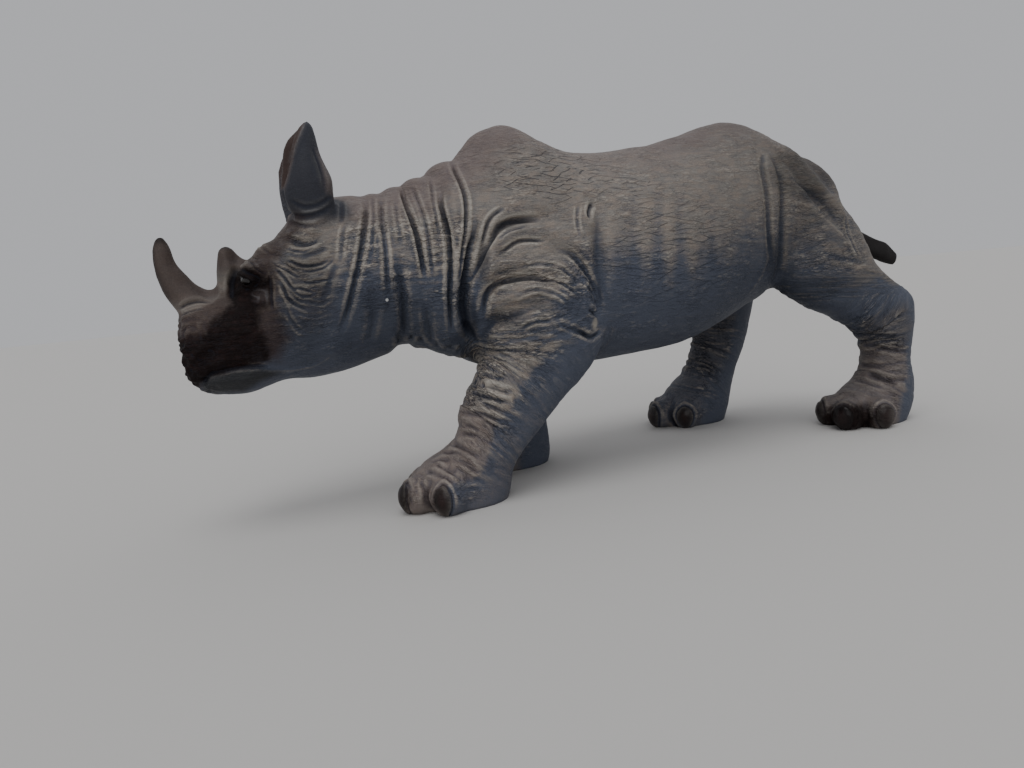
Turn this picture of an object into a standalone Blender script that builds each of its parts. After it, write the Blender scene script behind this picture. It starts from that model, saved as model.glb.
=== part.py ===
"""A walking rhinoceros, cast in one piece and standing on its own four soles.

The head points along -X, its left flank faces -Y, and +Z is up. Run it with
blender --background --python part.py, or from Blender's text editor.
"""

import bisect
import math

import bmesh
import bpy
import numpy as np

# Driving size, in metres, from the front horn to the tail.
LENGTH = 0.299

# Every form below is given in shares of the length: one share is a 299th of it.
SHARE = LENGTH / 299

# Fineness of the carving and of the finished solid.
VOXEL = 1.2 * SHARE
SMOOTHING_PASSES = 7
MOST_TRIANGLES = 9700
RING_POINTS = 40
RING_GAP = 1.6
BALL_SIDES, BALL_ROWS = 24, 14

BODY_COLOUR = (0.115, 0.112, 0.115, 1.0)
BODY_ROUGHNESS = 0.62

# Head and trunk: (top x, top z), (bottom x, bottom z), half width, level of the
# widest point, roundness above it, roundness below it. A roundness of 2 is an ellipse.
TRUNK = [
    ((-8.2, 65.0), (-8.0, 52.5), 8.0, 0.40, 2.2, 2.2),
    ((-6.8, 70.2), (-6.0, 47.6), 12.5, 0.38, 2.2, 2.6),
    ((-1.5, 73.8), (1.0, 44.0), 14.5, 0.36, 2.1, 2.8),
    ((6.0, 76.6), (10.0, 43.2), 15.2, 0.38, 2.0, 2.7),
    ((12.0, 80.8), (16.0, 44.6), 15.8, 0.46, 2.0, 2.4),
    ((17.0, 84.6), (21.0, 45.8), 17.2, 0.52, 2.1, 2.2),
    ((24.0, 91.0), (29.0, 45.2), 19.6, 0.50, 2.1, 2.1),
    ((31.0, 98.3), (38.0, 45.8), 21.6, 0.48, 2.1, 2.0),
    ((40.0, 102.4), (47.0, 47.8), 22.8, 0.48, 2.1, 2.0),
    ((50.0, 103.0), (56.5, 50.3), 23.6, 0.48, 2.0, 2.0),
    ((60.0, 103.6), (63.0, 52.8), 24.4, 0.46, 2.0, 2.0),
    ((70.0, 105.8), (71.0, 49.4), 26.4, 0.44, 1.9, 2.0),
    ((80.0, 110.2), (79.0, 46.5), 29.0, 0.43, 1.9, 2.1),
    ((90.0, 115.2), (88.0, 42.0), 31.6, 0.43, 1.8, 2.2),
    ((98.0, 122.6), (96.0, 38.5), 33.4, 0.44, 1.7, 2.2),
    ((106.0, 125.2), (106.0, 37.0), 34.8, 0.45, 1.7, 2.2),
    ((116.0, 119.8), (118.0, 37.6), 36.4, 0.46, 1.75, 2.2),
    ((125.0, 115.6), (126.0, 38.0), 37.6, 0.46, 1.8, 2.2),
    ((135.0, 114.2), (135.0, 38.2), 38.8, 0.46, 1.85, 2.2),
    ((150.0, 114.6), (150.0, 38.6), 40.0, 0.46, 1.85, 2.2),
    ((168.0, 117.0), (168.0, 40.2), 39.6, 0.47, 1.8, 2.2),
    ((188.0, 121.2), (186.0, 45.5), 37.2, 0.48, 1.7, 2.1),
    ((201.0, 125.0), (203.0, 52.5), 35.0, 0.48, 1.65, 2.1),
    ((215.0, 120.0), (216.0, 58.0), 32.4, 0.46, 1.7, 2.1),
    ((227.0, 110.0), (228.0, 62.0), 26.0, 0.44, 1.75, 2.1),
    ((238.0, 100.4), (237.5, 66.0), 19.6, 0.42, 1.8, 2.1),
    ((248.0, 91.4), (245.5, 72.0), 13.2, 0.42, 2.0, 2.1),
    ((253.6, 85.0), (251.5, 79.0), 6.8, 0.45, 2.0, 2.0),
]

# Legs: (front x, front z), (rear x, rear z), middle y, half width. A foot's last
# ring lies under the floor, where the sole is cut flat.
FRONT_LEFT_LEG = [
    ((95.0, 88.0), (134.0, 88.0), -17.0, 12.0),
    ((89.0, 68.0), (131.0, 67.0), -21.5, 15.5),
    ((82.8, 51.0), (126.5, 51.0), -23.5, 14.8),
    ((77.4, 39.5), (118.5, 38.5), -23.5, 13.4),
    ((71.8, 30.5), (108.5, 30.0), -23.0, 12.6),
    ((70.6, 22.5), (99.0, 21.0), -22.5, 12.2),
    ((65.0, 17.4), (91.0, 13.5), -22.0, 12.6),
    ((58.0, 14.4), (87.6, 7.8), -21.5, 12.8),
    ((55.4, 9.6), (86.8, 3.5), -21.5, 12.8),
    ((57.6, -1.5), (84.6, -1.5), -21.5, 12.2),
]
FRONT_RIGHT_LEG = [
    ((98.0, 88.0), (136.0, 88.0), 17.0, 12.0),
    ((98.0, 68.0), (136.0, 67.0), 20.5, 15.5),
    ((99.0, 51.0), (132.5, 51.0), 20.5, 14.4),
    ((99.5, 38.0), (126.5, 38.0), 19.0, 12.8),
    ((98.0, 27.0), (121.0, 27.0), 17.5, 11.6),
    ((95.5, 18.0), (119.0, 17.5), 16.5, 11.6),
    ((90.5, 13.0), (119.0, 10.5), 16.0, 12.6),
    ((87.0, 8.0), (119.0, 4.0), 16.0, 13.2),
    ((87.0, -1.5), (117.5, -1.5), 16.0, 12.8),
]
HIND_LEFT_LEG = [
    ((201.0, 92.0), (239.0, 93.0), -15.0, 13.0),
    ((201.0, 76.0), (244.5, 82.0), -19.5, 14.4),
    ((205.0, 59.0), (247.2, 71.5), -23.0, 14.0),
    ((216.0, 50.0), (248.4, 64.4), -25.5, 12.8),
    ((228.5, 44.0), (255.4, 57.6), -26.5, 11.8),
    ((239.5, 37.4), (266.4, 49.6), -27.0, 11.2),
    ((245.0, 30.2), (265.2, 37.0), -27.5, 10.6),
    ((245.0, 23.2), (262.4, 26.0), -27.5, 10.4),
    ((241.0, 17.4), (264.0, 16.5), -27.5, 11.2),
    ((233.0, 13.4), (264.6, 9.6), -27.0, 12.4),
    ((229.5, 8.0), (262.8, 4.2), -27.0, 13.0),
    ((230.5, -1.5), (258.5, -1.5), -27.0, 12.2),
]
HIND_RIGHT_LEG = [
    ((200.0, 92.0), (238.0, 93.0), 15.0, 13.0),
    ((197.0, 76.0), (241.0, 80.0), 19.5, 14.4),
    ((196.5, 62.0), (236.0, 68.0), 23.5, 13.6),
    ((200.6, 50.0), (233.5, 56.0), 27.0, 11.8),
    ((202.2, 38.0), (231.0, 44.5), 28.5, 10.8),
    ((200.6, 28.5), (227.8, 33.0), 29.5, 10.4),
    ((196.4, 21.5), (222.6, 22.5), 30.0, 10.8),
    ((188.5, 16.0), (218.5, 13.0), 30.0, 12.0),
    ((184.5, 9.5), (216.5, 6.0), 30.0, 12.8),
    ((185.5, -1.5), (213.0, -1.5), 30.0, 12.0),
]

# Horns and tail: the two edges seen from the side, middle y, half width.
FRONT_HORN = [
    ((-5.4, 66.0), (8.0, 72.5), 0.0, 7.0),
    ((-7.6, 70.6), (4.6, 76.2), 0.0, 6.0),
    ((-10.2, 75.0), (0.4, 79.4), 0.0, 4.9),
    ((-12.0, 80.6), (-3.2, 84.0), 0.0, 4.0),
    ((-12.6, 86.6), (-5.8, 88.6), 0.0, 3.1),
    ((-11.9, 91.2), (-7.2, 92.0), 0.0, 2.2),
    ((-10.6, 93.8), (-8.4, 94.0), 0.0, 1.1),
]
REAR_HORN = [
    ((5.0, 73.0), (18.5, 80.5), 0.0, 6.4),
    ((4.8, 78.0), (16.2, 83.8), 0.0, 5.2),
    ((5.0, 82.4), (13.6, 85.8), 0.0, 4.0),
    ((6.0, 86.4), (11.6, 87.8), 0.0, 2.8),
    ((7.6, 89.4), (10.2, 89.7), 0.0, 1.4),
]
TAIL = [
    ((243.0, 93.0), (239.0, 82.0), 0.0, 5.6),
    ((254.0, 87.0), (249.5, 76.5), -0.6, 5.0),
    ((263.6, 80.8), (259.2, 72.0), -2.2, 4.2),
    ((273.6, 76.0), (269.6, 67.2), -4.6, 3.6),
    ((281.6, 71.8), (278.2, 62.6), -7.0, 3.3),
    ((286.0, 66.4), (283.6, 60.8), -8.2, 2.4),
]

# An ear: height, front x, rear x, distance from the middle plane, half width, and
# how deep its cup is cut from the front.
EAR = [
    (91.0, 30.5, 41.5, 12.5, 5.2, 0.0),
    (96.0, 29.6, 41.4, 13.5, 5.4, 0.6),
    (100.5, 28.6, 41.4, 14.6, 6.2, 2.0),
    (106.0, 28.2, 40.4, 15.8, 6.6, 3.6),
    (111.5, 28.8, 39.2, 16.8, 6.0, 3.6),
    (116.5, 29.8, 38.0, 17.6, 4.8, 2.4),
    (120.5, 32.4, 37.2, 18.2, 3.2, 1.0),
    (123.2, 34.8, 36.8, 18.5, 1.3, 0.0),
]
EAR_TURN = math.radians(28)
EAR_MOUTH_WIDTH = 0.62

# Muscle masses under the hide: centre, radii, and the turn about Y in degrees. They
# are given for the left side, and the right side mirrors them.
MASSES = {
    "shoulder": ((109.0, -19.0, 80.0), (21.0, 14.5, 25.0), -14.0),
    "upper_arm": ((106.0, -24.0, 63.0), (22.0, 13.5, 19.0), -20.0),
    "haunch": ((219.0, -18.5, 82.0), (21.0, 14.0, 26.0), 10.0),
    "cheek": ((33.0, -12.5, 66.0), (15.0, 9.5, 15.0), 0.0),
    "brow": ((15.6, -12.8, 80.0), (5.8, 4.6, 3.7), -20.0),
    "lip": ((2.0, -9.0, 54.0), (7.0, 6.2, 7.0), 0.0),
}

# Toes of a foot: turn from straight ahead in degrees, reach from the foot's middle,
# and radius. A foot has its middle's place, its own turn in degrees and its size.
TOES = [(0.0, 15.6, 6.4), (47.0, 13.4, 6.0), (-47.0, 13.4, 6.0)]
TOE_HEIGHT = 6.8
TOE_RISE = 5.6
TOE_FLATNESS = 0.92
FEET = {
    "front_left": (70.0, -21.5, 6.0, 1.0),
    "front_right": (102.0, 16.0, -6.0, 0.98),
    "hind_left": (242.6, -27.0, 20.0, 1.0),
    "hind_right": (198.0, 30.0, 0.0, 0.98),
}

# Carved lines, seen from the side: points, half width of the line, its depth, and
# where it is cut. A crease is a narrow valley with a raised lip behind it.
BOTH, LEFT, RIGHT = 0, -1, 1
CREASES = [
    # The collars of the neck.
    ([(53, 108), (52, 99), (50, 94), (47, 85), (43, 73), (38, 60)], 2.0, 1.1, BOTH),
    ([(60, 109), (57, 100), (55, 92), (54, 82), (53, 64)], 1.6, 0.8, BOTH),
    ([(68, 112), (65, 101), (64, 88), (65, 72)], 1.8, 1.4, BOTH),
    ([(58, 88), (57, 71), (58, 61), (59, 48)], 2.2, 1.3, BOTH),
    ([(78, 116), (74, 97), (73, 86), (72, 77), (71, 56)], 2.0, 1.5, BOTH),
    ([(89, 122), (83, 103), (80, 91), (76, 79), (75, 66)], 1.9, 1.1, BOTH),
    ([(87, 102), (82, 88), (78, 74), (75.5, 64), (77, 56), (84, 45)], 3.0, 2.8, BOTH),
    # The shoulder.
    ([(93, 93.5), (87.5, 91), (85, 86), (81, 79)], 1.4, 1.1, BOTH),
    ([(108, 89), (97, 89.5), (89, 87), (84, 82), (81, 76), (77, 68)], 2.3, 2.3, BOTH),
    ([(105, 82), (96, 82.5), (90, 80.5), (86, 76)], 1.6, 1.4, BOTH),
    ([(108, 66), (98, 71), (91, 71), (85, 69.5), (81, 64), (79, 54)], 2.5, 2.2, BOTH),
    ([(102, 64), (93, 61.5), (87, 60), (82, 57), (77, 50)], 2.4, 1.7, LEFT),
    # Behind the upper arm, down to the elbow.
    ([(127, 96), (121, 84), (120, 72), (119, 62), (119, 50)], 3.0, 1.7, BOTH),
    ([(103, 79.5), (111, 77), (115.5, 70), (118, 63), (119, 55)], 2.0, 1.6, BOTH),
    ([(107, 54), (113, 50), (121, 52)], 1.6, 1.2, LEFT),
    # The flank and the haunch, with the ridge between them.
    ([(202, 117), (195, 104), (191.5, 93), (190, 82), (191, 72), (196, 62)], 2.4, 1.4, BOTH),
    ([(200, 116), (201.5, 104), (199, 91), (197, 78), (200, 67), (208, 56)], 2.6, 1.9, BOTH),
    ([(205, 107), (211, 99), (217, 92), (223, 85), (231, 74)], 3.4, 2.0, BOTH),
    # The mouth.
    ([(-8, 46.5), (-3.5, 50), (1, 51.6), (8, 52.2), (15, 51.6), (24, 49.4)], 1.4, 1.3, BOTH),
    # Round the eye: the socket, over the lid, and behind it.
    ([(12, 83), (9.4, 79.5), (8.3, 76), (9.5, 71)], 1.7, 1.5, BOTH),
    ([(13.5, 85.5), (16.5, 81.5), (20.5, 78.5)], 1.2, 1.0, BOTH),
    ([(18.5, 84), (19.4, 78), (19.2, 73), (17.5, 67)], 1.4, 1.1, BOTH),
    # The cheek, below the ear.
    ([(21, 84.5), (24, 81), (28, 76)], 1.3, 1.0, BOTH),
    ([(21.5, 78), (24, 71.5), (27, 69), (32, 66)], 1.6, 1.0, BOTH),
    ([(22, 84), (26, 80.5), (31, 79.5), (35, 81), (39, 85.5)], 1.5, 1.0, BOTH),
    ([(24, 90), (29, 87.5), (36, 90)], 1.5, 1.0, BOTH),
]

# Where a line's lip rises, in half widths behind its valley, and how high.
LIP_PLACE, LIP_HEIGHT = 1.7, 0.45
CREASE_REACH = 2.5
CURVE_STEPS = 8


def spline(values, t):
    """A smooth curve through the rows of values, at the place t counted in rows."""
    i = min(int(t), len(values) - 2)
    f = t - i
    before, start, end, after = (values[min(max(i + k, 0), len(values) - 1)] for k in (-1, 0, 1, 2))
    return 0.5 * (
        2 * start
        + (end - before) * f
        + (2 * before - 5 * start + 4 * end - after) * f**2
        + (3 * start - before - 3 * end + after) * f**3
    )


def spaced_rows(rows, place, gap):
    """The rows of a table, joined by a smooth curve and read about every gap."""
    values = np.array(rows, float)
    ends = [0.0]
    for first, last in zip(values, values[1:]):
        ends.append(ends[-1] + float(np.linalg.norm(place(last) - place(first))))
    count = max(2, round(ends[-1] / gap))
    found = []
    for step in range(count + 1):
        along = ends[-1] * step / count
        i = min(bisect.bisect_right(ends, along) - 1, len(rows) - 2)
        found.append(spline(values, i + (along - ends[i]) / (ends[i + 1] - ends[i])))
    return found


def power(value, exponent):
    """A signed power, for the sides of a superellipse."""
    return math.copysign(abs(value) ** exponent, value)


def section_ring(row):
    """The points of one section: an oval on the line from its first edge to its second."""
    ax, az, bx, bz, y, half_width, level, above, below = row
    ring = []
    for k in range(RING_POINTS):
        angle = 2 * math.pi * k / RING_POINTS
        across, up = math.cos(angle), math.sin(angle)
        roundness = above if up >= 0 else below
        reach = 1 - level if up >= 0 else level
        share = level + reach * power(up, 2 / roundness)
        side = half_width * power(across, 2 / roundness)
        ring.append((bx + (ax - bx) * share, y + side, bz + (az - bz) * share))
    return ring


def ear_ring(row, side):
    """One level of an ear: an oval whose front is pressed in to form the cup."""
    z, front, rear, out, half_width, cup = row
    middle, half_length = (front + rear) / 2, (rear - front) / 2
    ring = []
    for k in range(RING_POINTS):
        angle = 2 * math.pi * k / RING_POINTS
        along, across = half_length * math.cos(angle), half_width * math.sin(angle)
        mouth = math.exp(-((across / (EAR_MOUTH_WIDTH * half_width)) ** 2)) * max(0.0, -math.cos(angle))
        along += cup * mouth
        turned_x = along * math.cos(EAR_TURN) - across * math.sin(EAR_TURN)
        turned_y = along * math.sin(EAR_TURN) + across * math.cos(EAR_TURN)
        ring.append((middle + turned_x, side * (out + turned_y), z))
    return ring


def add_rings(bm, rings):
    """Closes a row of rings into a solid, with a flat cap at each end."""
    loops = [[bm.verts.new([c * SHARE for c in point]) for point in ring] for ring in rings]
    faces = [bm.faces.new(loops[0]), bm.faces.new(loops[-1])]
    for near, far in zip(loops, loops[1:]):
        for k in range(len(near)):
            j = (k + 1) % len(near)
            faces.append(bm.faces.new((near[k], near[j], far[j], far[k])))
    bmesh.ops.recalc_face_normals(bm, faces=faces)


def side_place(row):
    """The middle of a section, for spacing the rings evenly."""
    return np.array([(row[0] + row[2]) / 2, row[4], (row[1] + row[3]) / 2])


def add_trunk(bm):
    rows = [(*top, *bottom, 0.0, *rest) for top, bottom, *rest in TRUNK]
    add_rings(bm, [section_ring(row) for row in spaced_rows(rows, side_place, RING_GAP)])


def add_limb(bm, table):
    rows = [(*a, *b, y, half_width, 0.5, 2.1, 2.1) for a, b, y, half_width in table]
    add_rings(bm, [section_ring(row) for row in spaced_rows(rows, side_place, RING_GAP)])


def add_ear(bm, side):
    rows = spaced_rows(EAR, lambda row: np.array([0.0, 0.0, row[0]]), RING_GAP / 2)
    add_rings(bm, [ear_ring(row, side) for row in rows])


def add_ellipsoid(bm, centre, radii, tilt_degrees=0.0, turn_degrees=0.0):
    """A round mass, tilted about Y and then turned about Z."""
    made = bmesh.ops.create_uvsphere(bm, u_segments=BALL_SIDES, v_segments=BALL_ROWS, radius=1.0)
    tilt, turn = math.radians(tilt_degrees), math.radians(turn_degrees)
    for vert in made["verts"]:
        x, y, z = (c * r for c, r in zip(vert.co, radii))
        x, z = x * math.cos(tilt) + z * math.sin(tilt), z * math.cos(tilt) - x * math.sin(tilt)
        x, y = x * math.cos(turn) - y * math.sin(turn), y * math.cos(turn) + x * math.sin(turn)
        vert.co = [(c + offset) * SHARE for c, offset in zip((x, y, z), centre)]


def add_foot(bm, x, y, turn, size):
    """The three toes of a foot, as round knobs that the skin runs over."""
    for spread, reach, toe in TOES:
        angle = math.radians(180 + spread + turn)
        ahead = (math.cos(angle), math.sin(angle))
        toe_x, toe_y = (c + d * reach * size for c, d in zip((x, y), ahead))
        radii = (toe * TOE_FLATNESS * size, toe * size, TOE_HEIGHT * size)
        add_ellipsoid(bm, (toe_x, toe_y, TOE_RISE * size), radii, 0.0, spread + turn)


def rough_form():
    """Every mass of the animal as closed shapes that run into one another."""
    bm = bmesh.new()
    add_trunk(bm)
    for table in (FRONT_LEFT_LEG, FRONT_RIGHT_LEG, HIND_LEFT_LEG, HIND_RIGHT_LEG):
        add_limb(bm, table)
    for table in (FRONT_HORN, REAR_HORN, TAIL):
        add_limb(bm, table)
    for side in (LEFT, RIGHT):
        add_ear(bm, side)
        for (x, y, z), radii, tilt in MASSES.values():
            add_ellipsoid(bm, (x, -side * y, z), radii, tilt)
    for x, y, turn, size in FEET.values():
        add_foot(bm, x, y, turn, size)
    mesh = bpy.data.meshes.new("rough_form")
    bm.to_mesh(mesh)
    bm.free()
    return mesh


def evaluated(mesh, add_modifiers):
    """The mesh after modifiers, which add_modifiers puts on a passing object."""
    obj = bpy.data.objects.new("passing", mesh)
    bpy.context.scene.collection.objects.link(obj)
    add_modifiers(obj)
    graph = bpy.context.evaluated_depsgraph_get()
    result = bpy.data.meshes.new_from_object(obj.evaluated_get(graph))
    bpy.data.objects.remove(obj)
    return result


def skinned(mesh):
    """One hide over all the masses, with the places where they meet smoothed."""

    def add_modifiers(obj):
        remesh = obj.modifiers.new("one_skin", "REMESH")
        remesh.mode = "VOXEL"
        remesh.voxel_size = VOXEL
        smooth = obj.modifiers.new("soften", "SMOOTH")
        smooth.factor = 0.5
        smooth.iterations = SMOOTHING_PASSES

    return evaluated(mesh, add_modifiers)


def curve_points(points):
    """A carved line's points, joined by a smooth curve."""
    values = np.array(points, float)
    count = (len(points) - 1) * CURVE_STEPS
    return np.array([spline(values, k / CURVE_STEPS) for k in range(count + 1)])


def distances(places, curve):
    """For each place: how far it is from the curve, on which side, and how far along."""
    nearest = np.full(len(places), np.inf)
    side, along = np.zeros(len(places)), np.zeros(len(places))
    for k, (start, end) in enumerate(zip(curve, curve[1:])):
        step = end - start
        offset = places - start
        share = np.clip(offset @ step / (step @ step), 0, 1)
        gap = np.linalg.norm(offset - share[:, None] * step, axis=1)
        closer = gap < nearest
        turn = step[0] * offset[:, 1] - step[1] * offset[:, 0]
        nearest = np.where(closer, gap, nearest)
        side = np.where(closer, np.sign(turn), side)
        along = np.where(closer, (k + share) / (len(curve) - 1), along)
    return nearest, side, along


def carved(mesh):
    """The hide with its folds pressed in along every carved line."""
    count = len(mesh.vertices)
    places, normals = np.empty(count * 3), np.empty(count * 3)
    mesh.vertices.foreach_get("co", places)
    mesh.vertex_normals.foreach_get("vector", normals)
    places, normals = places.reshape(-1, 3) / SHARE, normals.reshape(-1, 3)
    lift = np.zeros(count)
    for points, half_width, depth, where in CREASES:
        curve = curve_points(points)
        reach = half_width * (LIP_PLACE + CREASE_REACH)
        low, high = curve.min(0) - reach, curve.max(0) + reach
        flat = places[:, [0, 2]]
        near = ((flat > low) & (flat < high)).all(1)
        if where != BOTH:
            near &= np.sign(places[:, 1]) == where
        gap, side, along = distances(flat[near], curve)
        fade = np.sin(np.pi * np.clip(along, 0.0, 1.0)) ** 0.5
        signed = gap * side / half_width
        valley = -np.exp(-(signed**2))
        lip = LIP_HEIGHT * np.exp(-((signed - LIP_PLACE) ** 2))
        lip += LIP_HEIGHT * np.exp(-((signed + LIP_PLACE) ** 2))
        lift[near] += depth * fade * (valley + lip)
    places += normals * lift[:, None]
    mesh.vertices.foreach_set("co", (places * SHARE).ravel())
    mesh.update()
    return mesh


def reduced(mesh):
    """The same form with few faces, the small ones left where it curves most."""
    triangles = sum(len(face.vertices) - 2 for face in mesh.polygons)

    def add_modifiers(obj):
        decimate = obj.modifiers.new("few_faces", "DECIMATE")
        decimate.ratio = min(1.0, MOST_TRIANGLES / triangles)
        decimate.use_collapse_triangulate = True

    return evaluated(mesh, add_modifiers)


def stood_on_soles(mesh):
    """Cuts the feet off flat at the floor and centres the figure over the origin."""
    bm = bmesh.new()
    bm.from_mesh(mesh)
    parts = bm.verts[:] + bm.edges[:] + bm.faces[:]
    cut = bmesh.ops.bisect_plane(
        bm, geom=parts, plane_co=(0, 0, 0), plane_no=(0, 0, 1), clear_inner=True
    )
    rim = [e for e in cut["geom_cut"] if isinstance(e, bmesh.types.BMEdge)]
    soles = bmesh.ops.holes_fill(bm, edges=rim, sides=0)["faces"]
    bmesh.ops.triangulate(bm, faces=soles)
    bmesh.ops.recalc_face_normals(bm, faces=bm.faces[:])
    places = np.array([v.co for v in bm.verts])
    middle = (places.min(0) + places.max(0)) / 2
    bmesh.ops.translate(bm, verts=bm.verts[:], vec=(-middle[0], -middle[1], 0.0))
    bm.to_mesh(mesh)
    bm.free()
    return mesh


def hide_material():
    material = bpy.data.materials.new("painted_hide")
    material.use_nodes = True
    shader = material.node_tree.nodes["Principled BSDF"]
    shader.inputs["Base Color"].default_value = BODY_COLOUR
    shader.inputs["Roughness"].default_value = BODY_ROUGHNESS
    return material


def main():
    for obj in list(bpy.data.objects):
        bpy.data.objects.remove(obj)
    mesh = stood_on_soles(reduced(carved(skinned(rough_form()))))
    mesh.name = "rhinoceros"
    figure = bpy.data.objects.new("rhinoceros", mesh)
    bpy.context.scene.collection.objects.link(figure)
    mesh.materials.append(hide_material())
    mesh.shade_smooth()


main()
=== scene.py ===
"""Looks for the walking rhinoceros: its carved hide, its coats of paint, the light and
the camera. Lengths are millimetres until the finished mesh is written back in metres."""

import math
from itertools import product

import bpy
import numpy as np
from mathutils import Euler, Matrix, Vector
from mathutils.bvhtree import BVHTree
from mathutils.kdtree import KDTree


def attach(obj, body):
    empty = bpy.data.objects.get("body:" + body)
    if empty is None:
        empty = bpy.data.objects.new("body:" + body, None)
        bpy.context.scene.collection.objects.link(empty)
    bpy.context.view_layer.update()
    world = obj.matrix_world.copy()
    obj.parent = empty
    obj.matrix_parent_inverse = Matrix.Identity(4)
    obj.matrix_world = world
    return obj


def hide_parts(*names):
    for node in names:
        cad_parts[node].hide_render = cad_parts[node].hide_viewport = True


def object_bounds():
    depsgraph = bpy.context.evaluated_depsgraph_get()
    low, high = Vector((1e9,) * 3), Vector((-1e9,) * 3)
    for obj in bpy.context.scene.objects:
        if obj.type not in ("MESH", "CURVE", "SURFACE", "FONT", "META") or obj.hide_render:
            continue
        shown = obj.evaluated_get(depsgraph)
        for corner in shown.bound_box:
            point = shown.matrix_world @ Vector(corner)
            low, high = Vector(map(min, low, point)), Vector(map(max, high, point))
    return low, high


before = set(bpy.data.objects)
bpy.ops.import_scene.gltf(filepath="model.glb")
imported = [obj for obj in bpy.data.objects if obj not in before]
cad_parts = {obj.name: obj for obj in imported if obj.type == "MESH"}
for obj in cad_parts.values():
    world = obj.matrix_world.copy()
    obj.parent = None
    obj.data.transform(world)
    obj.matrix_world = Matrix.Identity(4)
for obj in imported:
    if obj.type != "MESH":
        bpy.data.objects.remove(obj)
CAD_LOW, CAD_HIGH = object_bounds()

MM = 0.001
BOX_LOW, BOX_HIGH = np.array(CAD_LOW) / MM, np.array(CAD_HIGH) / MM
SEED = 7

# The photograph's camera.
PHOTO_WIDTH, PHOTO_HEIGHT = 1024, 768
CAMERA_PLACE = (-138.58, -252.79, 68.0)
CAMERA_TURN = (82.69, 5.62, -22.72)
CAMERA_LENS, CAMERA_SENSOR = 26.38, 36.0

# Fineness of the carving, how far the casting stays inside the solid's box, the most
# triangles of its three regions, and where these meet along the body and across it.
CARVING_GRAIN = 0.5
BOX_INSET = (0.002, 0.002, 0.0)
FAR_SIDE_TRIANGLES, NEAR_SIDE_TRIANGLES, HEAD_TRIANGLES = 60000, 92000, 42000
HEAD_END, FLANK_EDGE = -88.0, 3

# Melting of the facets: passes of smoothing, and the share of their loss given back.
BODY_MELTING, SLENDER_MELTING, TAIL_MELTING = (34, 0.6), (9, 1.0), (24, 0.9)
RELIEF_PASSES = 14
SOLE_HEIGHT = 0.3

# Random relief: size of its cells along the flow, and where the pattern starts.
COARSE_CELLS, FINE_CELLS = ((12, 12, 3.4), 0.7), ((6, 6, 1.5), 5.3)
MUZZLE_CELLS, GRAIN_CELLS, NOSE_CELLS = ((3.4, 3.4, 1.5), 9.2), (1.2, 2.2), ((1.7, 1.7, 1.5), 6.6)
DENT_CELLS = (14, 1.3)
WARP = 1.6

# Middle lines of the legs, from the trunk down to the sole.
LEG_LINES = {
    "front_left": [(-22, -17, 88), (-26.6, -21.7, 67.5), (-32, -23.7, 51), (-38.6, -23.7, 39),
                   (-46.4, -23.2, 30.2), (-51.8, -22.7, 21.8), (-58.6, -22.2, 15.4),
                   (-64, -21.7, 9), (-66, -21.7, 0)],
    "front_right": [(-19.6, 16.8, 88), (-19.6, 20.3, 67.5), (-20.8, 20.3, 51), (-23.6, 18.8, 38),
                    (-27.1, 17.3, 27), (-29.3, 16.3, 17.8), (-31.8, 15.8, 11.8), (-33.6, 15.8, 6),
                    (-34.3, 15.8, 0)],
    "hind_left": [(83.4, -15.2, 92.5), (86.2, -19.7, 79), (89.5, -23.2, 65.3), (95.6, -25.7, 57.2),
                  (105.4, -26.7, 50.8), (116.4, -27.2, 43.5), (118.5, -27.7, 33.6),
                  (117.1, -27.7, 24.6), (115.9, -27.7, 17), (112.2, -27.2, 11.5),
                  (109.5, -27.2, 6), (107.9, -27.2, 0)],
    "hind_right": [(82.4, 14.8, 92.5), (82.4, 19.3, 78), (79.7, 23.3, 65), (80.5, 26.8, 53),
                   (80, 28.3, 41.3), (77.6, 29.3, 30.8), (72.9, 29.8, 22), (66.9, 29.8, 14.5),
                   (63.9, 29.8, 7.8), (62.7, 29.8, 0)],
}
LEG_TOPS = {
    "front_left": (60, 44), "front_right": (56, 40), "hind_left": (62, 50), "hind_right": (62, 48),
}
LEG_REACH = (26, 20)

# Feet: middle of the sole, turn in degrees, size. Toes: spread in degrees and reach.
FEET = {
    "front_left": (-66.6, -21.7, 6.0, 1.0),
    "front_right": (-34.6, 15.8, -6.0, 0.98),
    "hind_left": (106.0, -27.2, 20.0, 1.0),
    "hind_right": (61.4, 29.8, 0.0, 0.98),
}
TOES = [(0.0, 15.6), (47.0, 13.4), (-47.0, 13.4)]
TOE_MIDDLE = 5.6
# Toenails: half width and half height above their middle, the middle's height, and how far
# they reach below it, all in degrees about the toe's middle; then their relief.
NAIL_OPENING = {"front": (30, 46), "hind": (42, 44)}
NAIL_MIDDLE, NAIL_BELOW = 4, 70
NAIL_RISE, CUTICLE_DEPTH, HOOD_RISE, CLEFT_DEPTH = 0.8, 0.45, 0.4, 1.2
TOE_CLEFT, CLEFT_WIDTH = 24.0, 1.1
# Places on the near feet painted darker: middle and radii on the photograph, and strength.
TOE_DARK_PATCHES = [((850, 418), (40, 19), 0.75), ((438, 500), (9, 15), 0.6), ((404, 498), (9, 18), 0.5)]

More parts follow.
